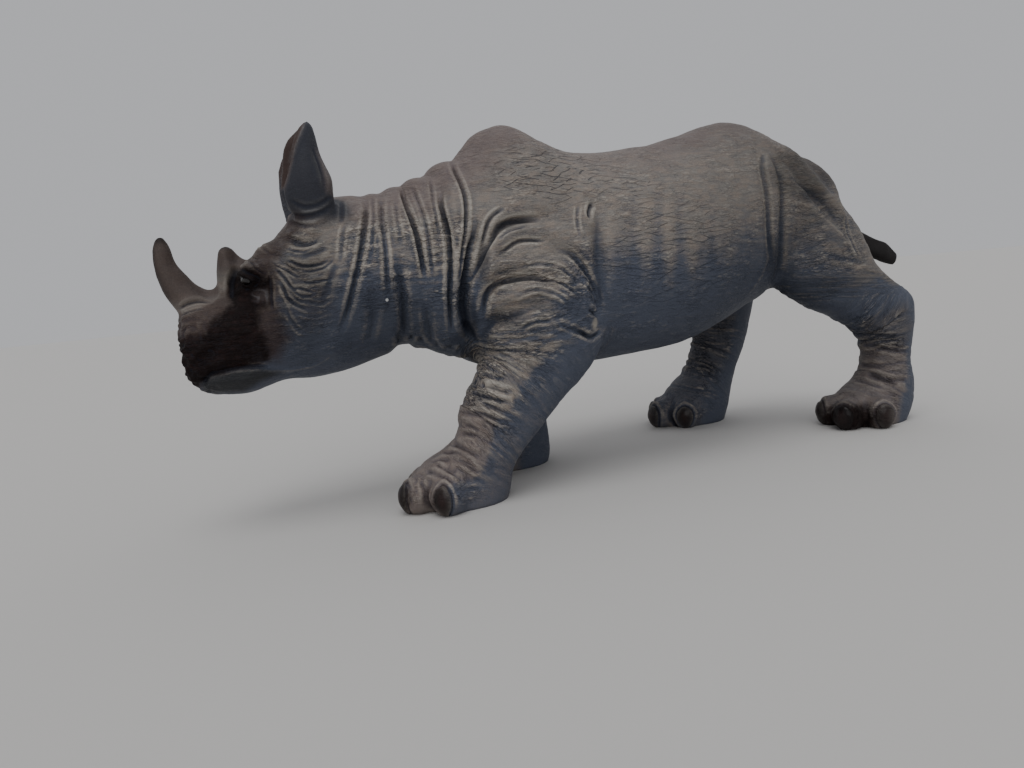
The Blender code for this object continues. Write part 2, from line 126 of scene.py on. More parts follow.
# Middle lines of the horns, the tail and the left ear, and the horns' dark tips.
FRONT_HORN_LINE = [
    (-135.3, 0, 69.3), (-138.1, 0, 73.4), (-141.5, 0, 77.2), (-144.2, 0, 82.3), (-145.8, 0, 87.6),
    (-146.1, 0, 93.9),
]
REAR_HORN_LINE = [
    (-124.8, 0, 76.8), (-126.1, 0, 80.9), (-127.3, 0, 84.1), (-127.8, 0, 87.1), (-127.7, 0, 90),
]
FRONT_TIP = [FRONT_HORN_LINE[-1], (-146.0, 0, 96)]
REAR_TIP = [REAR_HORN_LINE[-1], (-127.6, 0, 91)]
TAIL_LINE = [
    (104.4, 0, 87.5), (115.2, -0.8, 81.8), (124.8, -2.4, 76.4), (135, -4.8, 71.6), (143.3, -7.2, 67.2),
    (148.2, -8.4, 63.6),
]
EAR_LINE = [
    (-100.6, -12.7, 91), (-101.1, -13.7, 96), (-101.6, -14.8, 100.5), (-102.3, -16, 106),
    (-102.6, -17, 111.5), (-102.7, -17.8, 116.5), (-101.8, -18.4, 120.5), (-100.8, -18.7, 123.2),
]

# Folds are drawn on the photograph: points, half width, depth (a ridge where it is below
# nought) and height of the lips.
NECK_FOLDS = [
    ([(366, 200), (366, 215), (362, 245), (354, 285), (345, 320), (340, 335)], 0.8, 0.90, 0.54),
    ([(381, 197), (382, 220), (386, 255), (388, 300)], 0.7, 0.54, 0.41),
    ([(400, 188), (405, 203), (416, 233), (422, 262), (425, 280)], 0.7, 1.32, 0.74),
    ([(397, 258), (402, 290), (404, 320), (405, 338)], 1.2, 0.96, 0.47),
    ([(441, 190), (441, 205), (448, 235), (450, 265), (450, 300), (452, 335)], 0.8, 1.44, 0.81),
    ([(452, 165), (464, 193), (466, 220), (462, 255), (459, 285)], 0.7, 1.08, 0.68),
    ([(476, 215), (470, 245), (466, 275), (462, 305), (466, 325), (480, 348)], 1.3, 1.92, 0.81),
    ([(348, 222), (343, 232), (340, 262)], 0.6, 0.42, 0.27),
    ([(342, 200), (342, 215), (341, 225)], 0.6, 0.42, 0.27),
    ([(412, 187), (425, 222), (431, 262), (433, 280)], 0.6, 0.48, 0.34),
    ([(395, 200), (401, 245)], 0.6, 0.42, 0.27),
    ([(372, 196), (373, 225), (370, 262)], 0.5, 0.36, 0.27),
    ([(430, 176), (434, 205), (440, 240)], 0.5, 0.42, 0.27),
    ([(375, 305), (372, 325), (368, 345)], 1.2, 0.48, 0.27),
    ([(425, 300), (428, 325), (432, 345)], 1.2, 0.60, 0.41),
]
THROAT_NOTCHES = [
    ([(398, 330), (400, 343)], 1.2, 0.8, 0.5),
    ([(411, 335), (412, 349)], 0.9, 0.7, 0.5),
    ([(421, 336), (422, 353)], 0.9, 0.7, 0.5),
    ([(436, 340), (437, 353)], 1.1, 0.7, 0.4),
    ([(450, 345), (452, 360)], 1.1, 0.8, 0.4),
]
SHOULDER_FOLDS = [
    ([(505, 207), (491, 217), (485, 232), (481, 247)], 0.6, 0.8, 0.5),
    ([(546, 219), (515, 221), (499, 228), (488, 245), (478, 266), (468, 285)], 1.0, 1.25, 0.6),
    ([(527, 226), (515, 229), (505, 233), (497, 240)], 0.5, 0.45, 0.3),
    ([(545, 241), (520, 241), (505, 250), (500, 255)], 0.5, 0.75, 0.4),
    ([(556, 284), (535, 278), (512, 280), (492, 287), (484, 302), (482, 322)], 0.9, 1.1, 0.5),
    ([(580, 296), (560, 283), (540, 279)], 0.4, 0.5, 0.3),
    ([(532, 310), (508, 316), (492, 322), (480, 336)], 1.6, 0.7, 0.3),
    ([(593, 203), (589, 210), (590, 219)], 0.7, 1.3, 0.4),
    ([(600, 208), (597, 232), (598, 260), (599, 290), (601, 315)], 1.5, 0.5, 0.25),
    ([(578, 205), (577, 220), (580, 236)], 0.5, 0.4, 0.3),
    ([(555, 249), (570, 254), (583, 268), (594, 288), (599, 305), (597, 316)], 0.8, 0.7, 0.35),
    ([(583, 280), (590, 290), (596, 303), (599, 310)], 0.6, 0.5, 0.3),
    ([(588, 309), (597, 314)], 0.8, 1.0, 0.5),
    ([(520, 268), (540, 264), (560, 268), (575, 280)], 0.5, 0.4, 0.3),
    ([(515, 296), (535, 290), (556, 294), (572, 306)], 0.5, 0.35, 0.3),
    ([(520, 330), (535, 322), (552, 322)], 0.5, 0.35, 0.3),
    ([(578, 330), (590, 337), (601, 331)], 0.7, 0.8, 0.5),
    ([(556, 322), (570, 328), (590, 338)], 0.7, 0.5, 0.3),
]
HAUNCH_FOLDS = [
    ([(764, 150), (762, 168), (766, 190), (768, 210), (769, 235), (772, 265)], 0.8, 0.7, 0.22),
    ([(766, 148), (773, 160), (780, 178), (782, 200), (781, 235), (780, 262), (776, 285)], 1.1, 0.7, 0.18),
    ([(785, 172), (800, 184), (815, 196), (828, 208), (842, 228)], 1.9, 0.6, 0.15),
    ([(800, 198), (815, 211), (830, 224), (845, 240), (858, 257), (872, 274)], 1.5, -0.5, 0.0),
    ([(769, 250), (764, 268), (757, 282), (745, 298)], 1.2, -0.6, 0.0),
    ([(820, 250), (840, 258), (866, 262)], 1.2, 0.3, 0.2),
    ([(850, 205), (848, 225), (852, 243), (860, 262)], 0.6, 0.3, 0.2),
]
FACE_FOLDS = [
    # Mouth, and the rim of the lower lip below it.
    ([(200, 387), (205, 380), (212, 374), (225, 371), (240, 368), (262, 367), (275, 370)], 0.6, 0.9, 0.3),
    ([(207, 375), (230, 371), (250, 369), (273, 371), (300, 369), (318, 364), (340, 350)], 0.6, -0.35, 0.0),
    # The eye's socket, the brow over it, and the lids.
    ([(241, 268), (236, 272), (232, 280), (231, 290), (232, 300)], 0.9, 1.1, 0.3),
    ([(241, 263), (250, 263), (256, 269), (264, 273), (269, 275)], 0.45, 0.6, 0.4),
    ([(236, 273), (242, 270), (249, 274), (256, 277), (264, 281)], 0.5, 0.7, 0.35),
    ([(247, 285), (251, 281), (254, 276)], 0.3, -0.35, 0.0),
    ([(269, 274), (271, 287), (271, 300), (273, 311)], 0.55, 0.7, 0.35),
    ([(247, 289), (256, 289), (267, 291)], 0.4, -0.5, 0.0),
    ([(250, 293), (256, 297), (262, 299)], 0.4, -0.45, 0.0),
    ([(249, 298), (255, 302), (262, 305)], 0.4, -0.3, 0.0),
    # The lines that fan out over the cheek.
    ([(273, 263), (279, 267), (287, 270), (294, 275), (300, 277)], 0.4, 0.5, 0.3),
    ([(274, 267), (281, 274), (287, 281), (291, 287), (297, 291)], 0.4, 0.5, 0.35),
    ([(279, 281), (284, 289), (287, 297), (293, 303), (301, 307), (312, 310)], 0.45, 0.5, 0.3),
    ([(293, 289), (299, 288), (306, 290), (316, 294)], 0.35, 0.4, 0.35),
    ([(294, 291), (301, 296), (310, 296), (317, 294)], 0.35, 0.4, 0.35),
    ([(300, 270), (310, 271), (319, 269), (326, 266), (334, 259)], 0.4, 0.4, 0.25),
    ([(286, 259), (294, 263), (303, 266), (311, 266), (321, 264), (331, 259)], 0.45, 0.6, 0.35),
    ([(299, 256), (307, 254), (319, 251), (328, 246)], 0.9, 0.6, 0.3),
    ([(286, 240), (293, 241), (301, 244), (310, 244), (318, 239)], 0.9, 0.7, 0.35),
    ([(288, 248), (296, 251), (305, 251), (314, 247)], 0.4, 0.35, 0.25),
    ([(301, 281), (310, 283), (321, 281), (332, 278)], 0.35, 0.35, 0.25),
    ([(306, 300), (316, 304), (324, 303), (333, 297)], 0.35, 0.3, 0.2),
    ([(296, 312), (306, 316), (318, 316), (330, 311)], 0.35, 0.25, 0.2),
    ([(287, 311), (293, 323), (299, 330), (308, 335)], 0.5, 0.3, 0.2),
    ([(279, 282), (281, 292), (286, 301), (290, 312), (293, 322)], 0.5, -0.3, 0.0),
    ([(336, 262), (328, 285), (322, 305)], 0.9, 0.35, 0.2),
    ([(258, 240), (265, 250), (272, 256)], 0.5, 0.3, 0.2),
    # Skin pushed up at the root of the front horn.
    ([(179, 305), (187, 299), (197, 296), (208, 296)], 0.5, -0.6, 0.0),
    ([(178, 309), (188, 304), (200, 301), (212, 302)], 0.45, 0.5, 0.35),
    ([(181, 316), (192, 311), (206, 308)], 0.4, 0.35, 0.3),
]
# Lumps and dents of the face: place, radius, height.
FACE_LUMPS = [
    ((179, 333), 1.1, 0.55), ((182, 343), 0.9, 0.35), ((184, 352), 1.0, 0.4), ((184, 361), 1.2, 0.6),
    ((188, 372), 1.2, 0.5), ((206, 372), 1.1, 0.6), ((197, 384), 1.5, 0.6), ((222, 364), 1.6, 0.3),
    ((206, 345), 1.4, -0.3), ((204, 381), 0.8, -0.9), ((214, 352), 1.5, -0.35), ((252, 268), 2.0, 0.5),
]
# Where the hide is fuller or leaner than the plain solid: place, radius, rise.
FULLER_LEANER = [
    ((402, 192), 4.5, 1.8), ((418, 184), 4.5, 1.5), ((432, 176), 4.5, 1.1), ((448, 166), 5.0, 1.1),
    ((462, 156), 6.0, 0.5), ((474, 142), 6.0, 0.9), ((385, 198), 3.0, 0.4), ((600, 158), 9.0, 0.5),
    ((640, 152), 9.0, 1.3), ((680, 142), 9.0, 1.5), ((705, 132), 8.0, 1.5), ((745, 131), 5.0, -0.6),
    ((785, 151), 6.0, 1.3), ((797, 158), 4.0, 1.0), ((812, 162), 4.5, -0.5), ((824, 171), 6.5, -1.7),
    ((832, 184), 5.0, -1.0), ((842, 206), 4.0, 1.3), ((856, 227), 4.0, -0.7), ((850, 214), 8.0, -1.5),
    ((870, 243), 6.0, -1.3), ((264, 254), 5.0, 2.3), ((272, 240), 5.0, 1.6), ((281, 229), 4.0, 1.5),
    ((222, 252), 2.2, 0.6), ((237, 259), 2.8, -1.6), ((175, 263), 4.0, -1.3), ((189, 278), 4.2, -1.5),
    ((205, 289), 4.0, -1.9), ((328, 180), 3.5, 1.0), ((318, 152), 3.0, -0.6), ((880, 241), 4.0, -1.2),
    ((894, 250), 4.0, -1.4), ((396, 346), 2.5, -0.4), ((422, 345), 2.5, 1.3), ((444, 351), 2.5, -1.0),
    ((461, 354), 3.0, 1.5),
]
# The left ear stands wider open than in the plain solid: height, and how far its inner
# and its outer wall come forward.
EAR_OPENED = [
    (91, 0, 0), (96, 1.9, 1.2), (100, 4.6, 3.0), (104, 6.5, 3.2), (108, 6.9, 1.4), (112, 6.8, 0.2),
    (116, 6.4, 0), (118, 5.5, 0), (120, 3.7, 0), (122, 1.4, 0), (124, 0, 0),
]
EAR_TURN = math.radians(28)
EAR_FOLDS = [
    ([(306, 123), (301, 133), (296, 146), (293, 160)], 0.5, -0.4, 0.0),
    ([(313, 146), (318, 160), (322, 176), (325, 190)], 0.6, 0.3, 0.25),
    ([(289, 200), (305, 207), (320, 204), (331, 196)], 0.6, 0.25, 0.2),
    ([(287, 212), (300, 217), (312, 216), (325, 211), (332, 204)], 0.8, 0.55, 0.3),
    ([(290, 222), (305, 226), (320, 226)], 0.7, 0.35, 0.25),
]
FORELEG_FOLDS = [
    ([(482, 373), (495, 378), (505, 380)], 0.7, 0.4, 0.3),
    ([(478, 385), (492, 388), (505, 392), (515, 391)], 0.8, 0.6, 0.4),
    ([(470, 391), (485, 397), (510, 403)], 0.7, 0.6, 0.4),
    ([(461, 412), (475, 415), (485, 418)], 0.8, 0.6, 0.4),
    ([(458, 423), (470, 427), (480, 432)], 0.7, 0.5, 0.4),
    ([(455, 433), (466, 434), (478, 436)], 0.7, 0.5, 0.4),
    ([(452, 443), (465, 450), (480, 458)], 0.9, 0.9, 0.5),
    ([(441, 453), (455, 452), (466, 458), (476, 468)], 0.8, 0.6, 0.4),
    ([(458, 458), (468, 466), (480, 474)], 0.8, 0.6, 0.4),
    ([(430, 463), (440, 459), (450, 461)], 0.7, 0.5, 0.3),
    ([(405, 470), (408, 482), (409, 492), (412, 507)], 0.6, 0.5, 0.3),
    ([(410, 466), (414, 474), (417, 484)], 0.6, 0.4, 0.3),
    ([(446, 466), (452, 471), (458, 470)], 0.9, 0.6, 0.3),
    ([(420, 478), (424, 490), (426, 505)], 0.6, 0.5, 0.3),
    ([(424, 470), (436, 474), (450, 480), (458, 486)], 0.7, 0.5, 0.35),
    ([(434, 462), (446, 470), (462, 480)], 0.5, 0.4, 0.3),
]
HIND_LEG_FOLDS = [
    ([(862, 345), (872, 346), (885, 344)], 0.8, 0.5, 0.3),
    ([(870, 336), (880, 336), (897, 336)], 0.8, 0.6, 0.3),
    ([(873, 351), (883, 349), (895, 351), (910, 351)], 0.8, 0.6, 0.3),
    ([(860, 365), (870, 366), (885, 368)], 0.9, 0.6, 0.4),
    ([(866, 372), (880, 378), (900, 385)], 1.1, 1.0, 0.5),
    ([(856, 380), (870, 384), (884, 388)], 0.8, 0.5, 0.3),
    ([(884, 378), (895, 380), (908, 380)], 0.8, 0.5, 0.3),
]
LEFT_ONLY_FOLDS = FORELEG_FOLDS + HIND_LEG_FOLDS
BOTH_SIDES_FOLDS = NECK_FOLDS + THROAT_NOTCHES + SHOULDER_FOLDS + HAUNCH_FOLDS + FACE_FOLDS + EAR_FOLDS

# Where a fold ends beside its line and where its lips stand, in half widths; then the
# pixels from one point of its line to the next.
FOLD_REACH, LIP_PLACE, LIP_BREADTH = 5.0, 1.9, 1.1
FOLD_STEP = 4

# Eye: where it is seen, how far its shaping reaches, half length and half height, and the
# relief of its parts.
EYE_SEEN, EYE_REACH = (244, 283), 8
EYE_LENGTH, EYE_HEIGHT = 2.1, 1.4
SOCKET_DEPTH, SOCKET_RADIUS, BALL_RISE = 1.0, 3.0, 0.8
LOWER_LID_RISE, UPPER_LID_MORE, FURROW_DEPTH, BAG_RISE, BROW_RISE = 0.45, 0.55, 0.35, 0.30, 0.9

# How strongly the hide is wrinkled: everywhere; in soft ovals (middle, radii, strength);
# and in windows whose left, right, upper and lower edge each run from none to full.
LEAST_WRINKLED = 0.36
WRINKLED_SPOTS = [((825, 240), (62, 66), 0.6), ((300, 320), (46, 40), 0.55)]
WRINKLED_WINDOWS = [
    ((322, 350), (486, 462), (190, 225), (335, 290), 0.75),
    ((470, 500), (610, 585), (225, 262), (900, 800), 0.8),
    ((262, 280), (340, 315), (215, 235), (345, 320), 0.6),
]

# Levels in the photograph: below the first the tan dry-brushing gives way to slate blue,
# and above the second the mauve wash lies over it.
TAN_EDGE = [
    (150, 345), (250, 345), (290, 320), (330, 285), (360, 262), (400, 262), (440, 280), (470, 262),
    (482, 285), (500, 345), (550, 320), (575, 272), (600, 250), (625, 252), (680, 256), (720, 250),
    (760, 240), (790, 250), (840, 266), (880, 300), (960, 335),
]
TAN_SOFT = 46
MAUVE_EDGE = [
    (150, 240), (280, 225), (330, 205), (366, 222), (400, 215), (440, 200), (470, 184), (495, 165),
    (525, 146), (560, 148), (620, 162), (680, 160), (720, 140), (760, 128), (800, 146), (830, 180),
    (960, 240),
]
MAUVE_SOFT = 30
# Faint ribs down the flank: where, and how much lighter they are.
RIBS = [
    (612, 0.9), (634, -0.7), (646, 0.5), (658, -0.9), (670, 0.6), (680, -0.8), (693, 0.9), (712, -0.6),
    (728, 0.4), (745, -0.3),
]
RIB_WIDTH, RIB_RISE = 6, 0.30
RIBS_TOP, RIBS_BOTTOM = (175, 215), (310, 265)
# Places painted dark blue: middle, radii across and up, and strength.
BLUE_HOLLOWS = [
    ((513, 226), (22, 7), 0.5), ((484, 262), (9, 26), 0.7), ((508, 320), (28, 10), 0.6),
    ((575, 300), (14, 24), 0.4), ((470, 320), (10, 30), 0.8), ((388, 290), (10, 30), 0.4),
    ((812, 196), (18, 9), 0.6), ((772, 255), (9, 28), 0.6), ((598, 250), (9, 40), 0.3),
    ((370, 300), (14, 30), 0.4), ((542, 304), (26, 14), 0.4),
]
# Where the dry-brushing is thin, so that it takes only on the raised skin.
THIN_BRUSHING = [
    ((296, 285), (46, 62), 0.36), ((815, 215), (60, 60), 0.18), ((425, 300), (60, 40), 0.08),
]
# The rear of the trunk is painted darker, partly as duller paint and partly as painted shade: from where to
# where across the picture, and how much.
DULL_SHADE_FROM, DULL_SHADE_TO, DULL_SHADE_MOST = 600, 800, 0.55
# Darker still, partly duller paint and partly painted shade, as under the neck: middle, radii and strength.
DULL_AND_SHADED_SPOTS = [
    ((806, 172), (56, 40), 1.0), ((304, 300), (44, 70), 0.72), ((375, 325), (80, 44), 0.42),
    ((880, 315), (36, 40), 0.75), ((232, 292), (16, 34), 0.3), ((450, 345), (50, 26), 0.2),
    ((530, 175), (60, 50), 0.14), ((262, 250), (22, 40), 0.25),
]
# Patches with thin cracks: middle, radii, and strength.
CRACKED = [
    ((548, 172), (74, 40), 1.0), ((668, 250), (84, 72), 0.75), ((625, 185), (50, 22), 0.7),
    ((800, 215), (40, 44), 0.5), ((560, 285), (40, 26), 0.5),
]
# On the near legs the tan gives way to blue along these outlines.
FORELEG_BLUE = [
    (604, 332), (580, 338), (560, 348), (541, 362), (524, 384), (516, 402), (499, 420), (493, 442),
    (488, 462), (474, 479), (450, 488), (447, 500), (449, 530), (560, 530), (620, 400), (640, 340),
]
SHIN_BROWN = [
    (866, 322), (905, 302), (914, 330), (906, 352), (908, 372), (903, 396), (895, 432), (805, 432),
    (812, 395), (850, 374), (858, 346),
]
# The hind legs: tan in all, tan kept on the foot, umber rubbed off the foot, and darkening, partly duller
# paint and partly painted shade.
HIND_PAINT = {"hind_left": (1.0, 1.0, 0.6, 0.1), "hind_right": (0.6, 0.15, 0.9, 0.22)}
WORN_SPOT, WORN_SIZE = (595, 324), 2.3
PAINT_CHIP, CHIP_SIZE = (387, 300), 0.6
MUZZLE_EDGE = [
    (150, 346), (184, 336), (197, 329), (219, 313), (231, 303), (233, 284), (236, 272), (243, 265),
    (256, 270), (268, 277), (270, 292), (268, 304), (262, 312), (264, 330), (272, 350), (272, 362),
    (250, 364), (225, 369), (206, 376), (198, 392), (150, 392),
]
MUZZLE_CORE = [
    (150, 360), (178, 350), (192, 340), (212, 330), (228, 318), (246, 318), (256, 330), (262, 346),
    (262, 362), (250, 365), (225, 370), (206, 377), (197, 390), (150, 386),
]
FACE_BROWN = [
    (165, 320), (182, 306), (200, 296), (222, 288), (240, 262), (256, 248), (272, 236), (292, 210),
    (300, 216), (282, 250), (276, 276), (278, 300), (284, 320), (292, 340), (282, 362), (250, 366),
    (206, 378), (196, 396), (165, 384),
]
# Soft ovals of paint on the head: middle, radii, and strength.
EYE_SOCKETS = [((246, 282), (19, 15), 1.5), ((238, 290), (10, 16), 1.5)]
CHEEK_BROWN = [((305, 292), (46, 62), 0.38)]
# Painted highlights: lighter grey on the raised lower lids and on the brow.
LID_HIGHLIGHTS = [((262, 296), (11, 8), 0.8), ((258, 263), (12, 5), 0.45)]
EAR_INSIDE = [
    (304, 121), (299, 134), (294, 148), (292, 160), (288, 176), (284, 188), (274, 190), (270, 160),
    (280, 136), (294, 118),
]
# The back of the ear, lit from above: less of the ears' grey lies there, so it shows lighter as painted
# light.
EAR_BACK_LIT = [
    (316, 150), (321, 165), (324, 180), (326, 192), (340, 200), (345, 185), (330, 160), (322, 146),
]
# The lower jaw: its grey paint is darkened as painted shade under the head.
SHADED_JAW_PATCH = [
    (200, 384), (212, 376), (240, 370), (262, 369), (285, 373), (262, 381), (245, 392), (205, 394),
]

# Colours of the paint, as light values of red, green and blue.
SLATE_BLUE = (0.078, 0.089, 0.121)
DRY_TAN = (0.218, 0.200, 0.180)
WARM_TAN = (0.268, 0.222, 0.184)
CREST_TAN = (0.460, 0.425, 0.375)
MAUVE_WASH = (0.138, 0.103, 0.099)
WASH_BROWN = (0.026, 0.017, 0.016)
SHIN_UMBER = (0.078, 0.072, 0.076)
FACE_UMBER = (0.040, 0.0225, 0.019)
MAROON = (0.0060, 0.0022, 0.0020)
MAROON_STREAK = (0.020, 0.0085, 0.0075)
NAIL_DARK = (0.0065, 0.0024, 0.0022)
# Paler middle of the nails: painted highlight.
NAIL_HIGHLIGHT = (0.022, 0.0105, 0.0095)
# Lighter grey of the lids: painted highlight.
LID_HIGHLIGHT_GREY = (0.105, 0.098, 0.105)
BLUE_BLACK = (0.010, 0.012, 0.020)
DARK_BLUE = (0.024, 0.029, 0.044)
EAR_GREY = (0.050, 0.052, 0.061)
# Lighter grey on the ears' raised rims: painted highlight.
EAR_RIM_HIGHLIGHT = (0.200, 0.200, 0.205)
# Grey of the jaw, darkened as painted shade.
JAW_GREY_IN_SHADE = (0.036, 0.037, 0.040)
HORN_BROWN = (0.040, 0.027, 0.024)
HORN_LIGHT = (0.086, 0.064, 0.057)
HORN_TIP = (0.018, 0.013, 0.012)
TAIL_BLACK = (0.022, 0.019, 0.019)
EYE_BLACK = (0.003, 0.0025, 0.0025)
WORN_CREAM = (0.42, 0.38, 0.32)
CHIP_WHITE = (0.75, 0.75, 0.75)
FLOOR_GREY, SKY_GREY = (0.56, 0.548, 0.53), (0.49, 0.495, 0.513)

# The shader: the noises of its long and short wrinkles, the slopes and gaps of its cracks,
# and how deep its finest relief goes.
RIDGE_NOISES = ((0.40, 3.0, 0.6, (0.30, 0.30, 1.0)), (0.95, 2.0, 0.6, (0.38, 0.38, 1.0)))
CRACK_TURNS_GAPS = ((2.0, 1.5), (-13.0, 2.1), (17.0, 2.7))
BUMP_DEPTH = 0.8

FLOOR_SIZE = 12.0
# Lights: name, where it comes from, spread in degrees, and power.
SOFT_LIGHTS = [
    ("overhead", (-0.15, -0.25, 1.0), 40, 0.85),
    ("from_front", (-0.45, -1.0, 0.55), 45, 0.5),
    ("from_behind", (0.5, 0.5, 0.9), 60, 0.2),
]


DICE = np.random.default_rng(SEED).random((32, 32, 32))


def smooth(low, high, value):
    """0 below low, 1 above high, and a soft step between; low may be the higher one."""
    share = np.clip((value - low) / (high - low), 0.0, 1.0)
    return share * share * (3 - 2 * share)


def bell(value, breadth):
    """1 where the value is nought, and next to 0 two breadths away."""
    return np.exp(-(value / breadth) ** 2)


def mottle(points, size, shift=0.0):
    """Soft random values from 0 to 1 over the points, with cells of the given size."""
    spot = points / np.asarray(size, float) + shift
    cell = np.floor(spot).astype(int)
    part = spot - cell
    part = part * part * (3 - 2 * part)
    total = np.zeros(len(points))
    for corner in product((0, 1), repeat=3):
        share = np.prod(np.where(corner, part, 1 - part), axis=1)
        total += share * DICE[tuple(((cell + corner) % len(DICE)).T)]
    return total


def swell(points, size, shift):
    """Soft random heights about nought."""
    return mottle(points, size, shift) - 0.5


def wrinkles(points, size, shift):
    """Rounded ridges about nought with sharp valleys between them."""
    return np.abs(2 * mottle(points, size, shift) - 1) ** 0.8 - 0.5


def length_of(rows):
    return np.sqrt((rows * rows).sum(-1))


def run_of(line, count):
    """Evenly many points along a smooth curve through the line's points."""
    line = np.asarray(line, float)
    if len(line) == 2:
        return line[0] + np.linspace(0, 1, count)[:, None] * (line[1] - line[0])
    ends = np.vstack([2 * line[0] - line[1], line, 2 * line[-1] - line[-2]])
    where = np.linspace(0, len(line) - 1, count)
    first = np.minimum(where.astype(int), len(line) - 2)
    t = (where - first)[:, None]
    a, b, c, d = (ends[first + k] for k in range(4))
    square, cube = 2 * a - 5 * b + 4 * c - d, 3 * b - a - 3 * c + d
    return 0.5 * (2 * b + (c - a) * t + square * t ** 2 + cube * t ** 3)


def nearest_on(line, points):
    """For every point: distance to the line, how far along it, and the offset from it."""
    line = np.asarray(line, float)
    best = np.full(len(points), np.inf)
    along = np.zeros(len(points))
    offset = np.zeros_like(points)
    run = 0.0
    for start, end in zip(line[:-1], line[1:]):
        step = end - start
        size = length_of(step)
        share = np.clip((points - start) @ step / size ** 2, 0, 1)
        gap = points - start - share[:, None] * step
        far = length_of(gap)
        closer = far < best
        best[closer], along[closer], offset[closer] = far[closer], run + share[closer] * size, gap[closer]
        run += size
    return best, along, offset


def forward_of(offset):
    """1 where an offset from a middle line points straight ahead, -1 where it points back."""
    return -offset[:, 0] / np.maximum(length_of(offset), 1e-6)


# The camera.
CAMERA_ANGLES = [math.radians(turn) for turn in CAMERA_TURN]
CAMERA_AXES = np.array(Euler(CAMERA_ANGLES).to_matrix())
FOCAL_PIXELS = CAMERA_LENS / CAMERA_SENSOR * PHOTO_WIDTH


def make_camera():
    data = bpy.data.cameras.new("camera")
    data.lens, data.sensor_width = CAMERA_LENS, CAMERA_SENSOR
    data.clip_start, data.clip_end = 0.01, 50.0
    camera = bpy.data.objects.new("camera", data)
    camera.location = Vector(CAMERA_PLACE) * MM
    camera.rotation_euler = CAMERA_ANGLES
    bpy.context.scene.collection.objects.link(camera)
    bpy.context.scene.camera = camera


def sight_line(pixel):
    """The direction from the camera through a pixel."""
    ray = CAMERA_AXES @ np.array([pixel[0] - PHOTO_WIDTH / 2, PHOTO_HEIGHT / 2 - pixel[1], -FOCAL_PIXELS])
    return Vector(ray).normalized()


def seen_at(points):
    """Where the photograph shows the points, with the right flank folded on the left."""
    near = points.copy()
    near[:, 1] = -np.abs(near[:, 1])
    local = (near - np.array(CAMERA_PLACE)) @ CAMERA_AXES
    return np.stack([PHOTO_WIDTH / 2 - FOCAL_PIXELS * local[:, 0] / local[:, 2],
                     PHOTO_HEIGHT / 2 + FOCAL_PIXELS * local[:, 1] / local[:, 2]], 1)


def cast(tree, pixels):
    """Pixels of the photograph as points on the hide."""
    origin = Vector(CAMERA_PLACE)
    hits = [tree.ray_cast(origin, sight_line(pixel))[0] for pixel in pixels]
    return np.array([tuple(hit) for hit in hits if hit is not None]).reshape(-1, 3)


def inside(outline, seen, soft):
    """1 well inside an outline drawn on the photograph, 0 well outside it."""
    x, y = seen.T
    within = np.zeros(len(seen), bool)
    closed = np.array([*outline, outline[0]], float)
    for (x0, y0), (x1, y1) in zip(closed[:-1], closed[1:]):
        if y1 != y0:
            within ^= ((y0 > y) != (y1 > y)) & (x < (x1 - x0) * (y - y0) / (y1 - y0) + x0)
    edge = nearest_on(closed, seen)[0]
    return smooth(-soft, soft, np.where(within, edge, -edge))


def patch(seen, middle, radii):
    """1 in the middle of a soft oval drawn on the photograph, 0 outside it."""
    return smooth(1.25, 0.35, length_of((seen - middle) / radii))


def strongest(seen, spots):
    """The strongest of several soft ovals: middle, radii and strength of each."""
    return np.maximum.reduce([strength * patch(seen, middle, radii) for middle, radii, strength in spots])


# The mesh.
def only(obj):
    bpy.ops.object.select_all(action="DESELECT")
    obj.select_set(True)
    bpy.context.view_layer.objects.active = obj


def apply_modifier(obj, kind, **settings):
    modifier = obj.modifiers.new(kind, kind)
    for name, value in settings.items():
        setattr(modifier, name, value)
    only(obj)
    bpy.ops.object.modifier_apply(modifier=modifier.name)


def column(items, name, width=1, kind=float):
    """One property of all items, as a row of numbers for each."""
    flat = np.empty(len(items) * width, kind)
    items.foreach_get(name, flat)
    return flat.reshape(-1, width) if width > 1 else flat


def places(obj):
    return column(obj.data.vertices, "co", 3) / MM


def move_to(obj, points):
    obj.data.vertices.foreach_set("co", (points * MM).ravel())
    obj.data.update()


def surface_of(obj, points):
    return BVHTree.FromPolygons(points.tolist(), [tuple(p.vertices) for p in obj.data.polygons])


def evened(values, edges, passes):
    """Each value moved halfway to its neighbours' mean, several times over."""
    values = values.copy()
    flat = values.reshape(len(values), -1)
    first, second = edges.T
    count = np.bincount(edges.ravel(), minlength=len(flat))
    for _ in range(passes):
        for k in range(flat.shape[1]):
            total = np.bincount(first, flat[second, k], len(flat))
            total += np.bincount(second, flat[first, k], len(flat))
            flat[:, k] += 0.5 * (total / count - flat[:, k])
    return values


def melted(points, edges, passes, given_back):
    """Smoothed points that get back a share of what the smoothing took."""
    once = evened(points, edges, passes)
    return once + given_back * (once - evened(once, edges, passes))


def solid_copy():
    """A copy of the solid with its loose triangles merged."""
    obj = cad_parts["rhinoceros"].copy()
    obj.data = obj.data.copy()
    obj.name = obj.data.name = "hide"
    obj.parent = None
    for key in list(obj.keys()):
        del obj[key]
    bpy.context.scene.collection.objects.link(obj)
    only(obj)
    bpy.ops.object.mode_set(mode="EDIT")
    bpy.ops.mesh.select_all(action="SELECT")
    bpy.ops.mesh.remove_doubles(threshold=0.01 * MM)
    bpy.ops.object.mode_set(mode="OBJECT")
    return obj


# Where the parts of the body are.
def close_to(line, points, outer, inner):
    return smooth(outer, inner, nearest_on(line, points)[0])


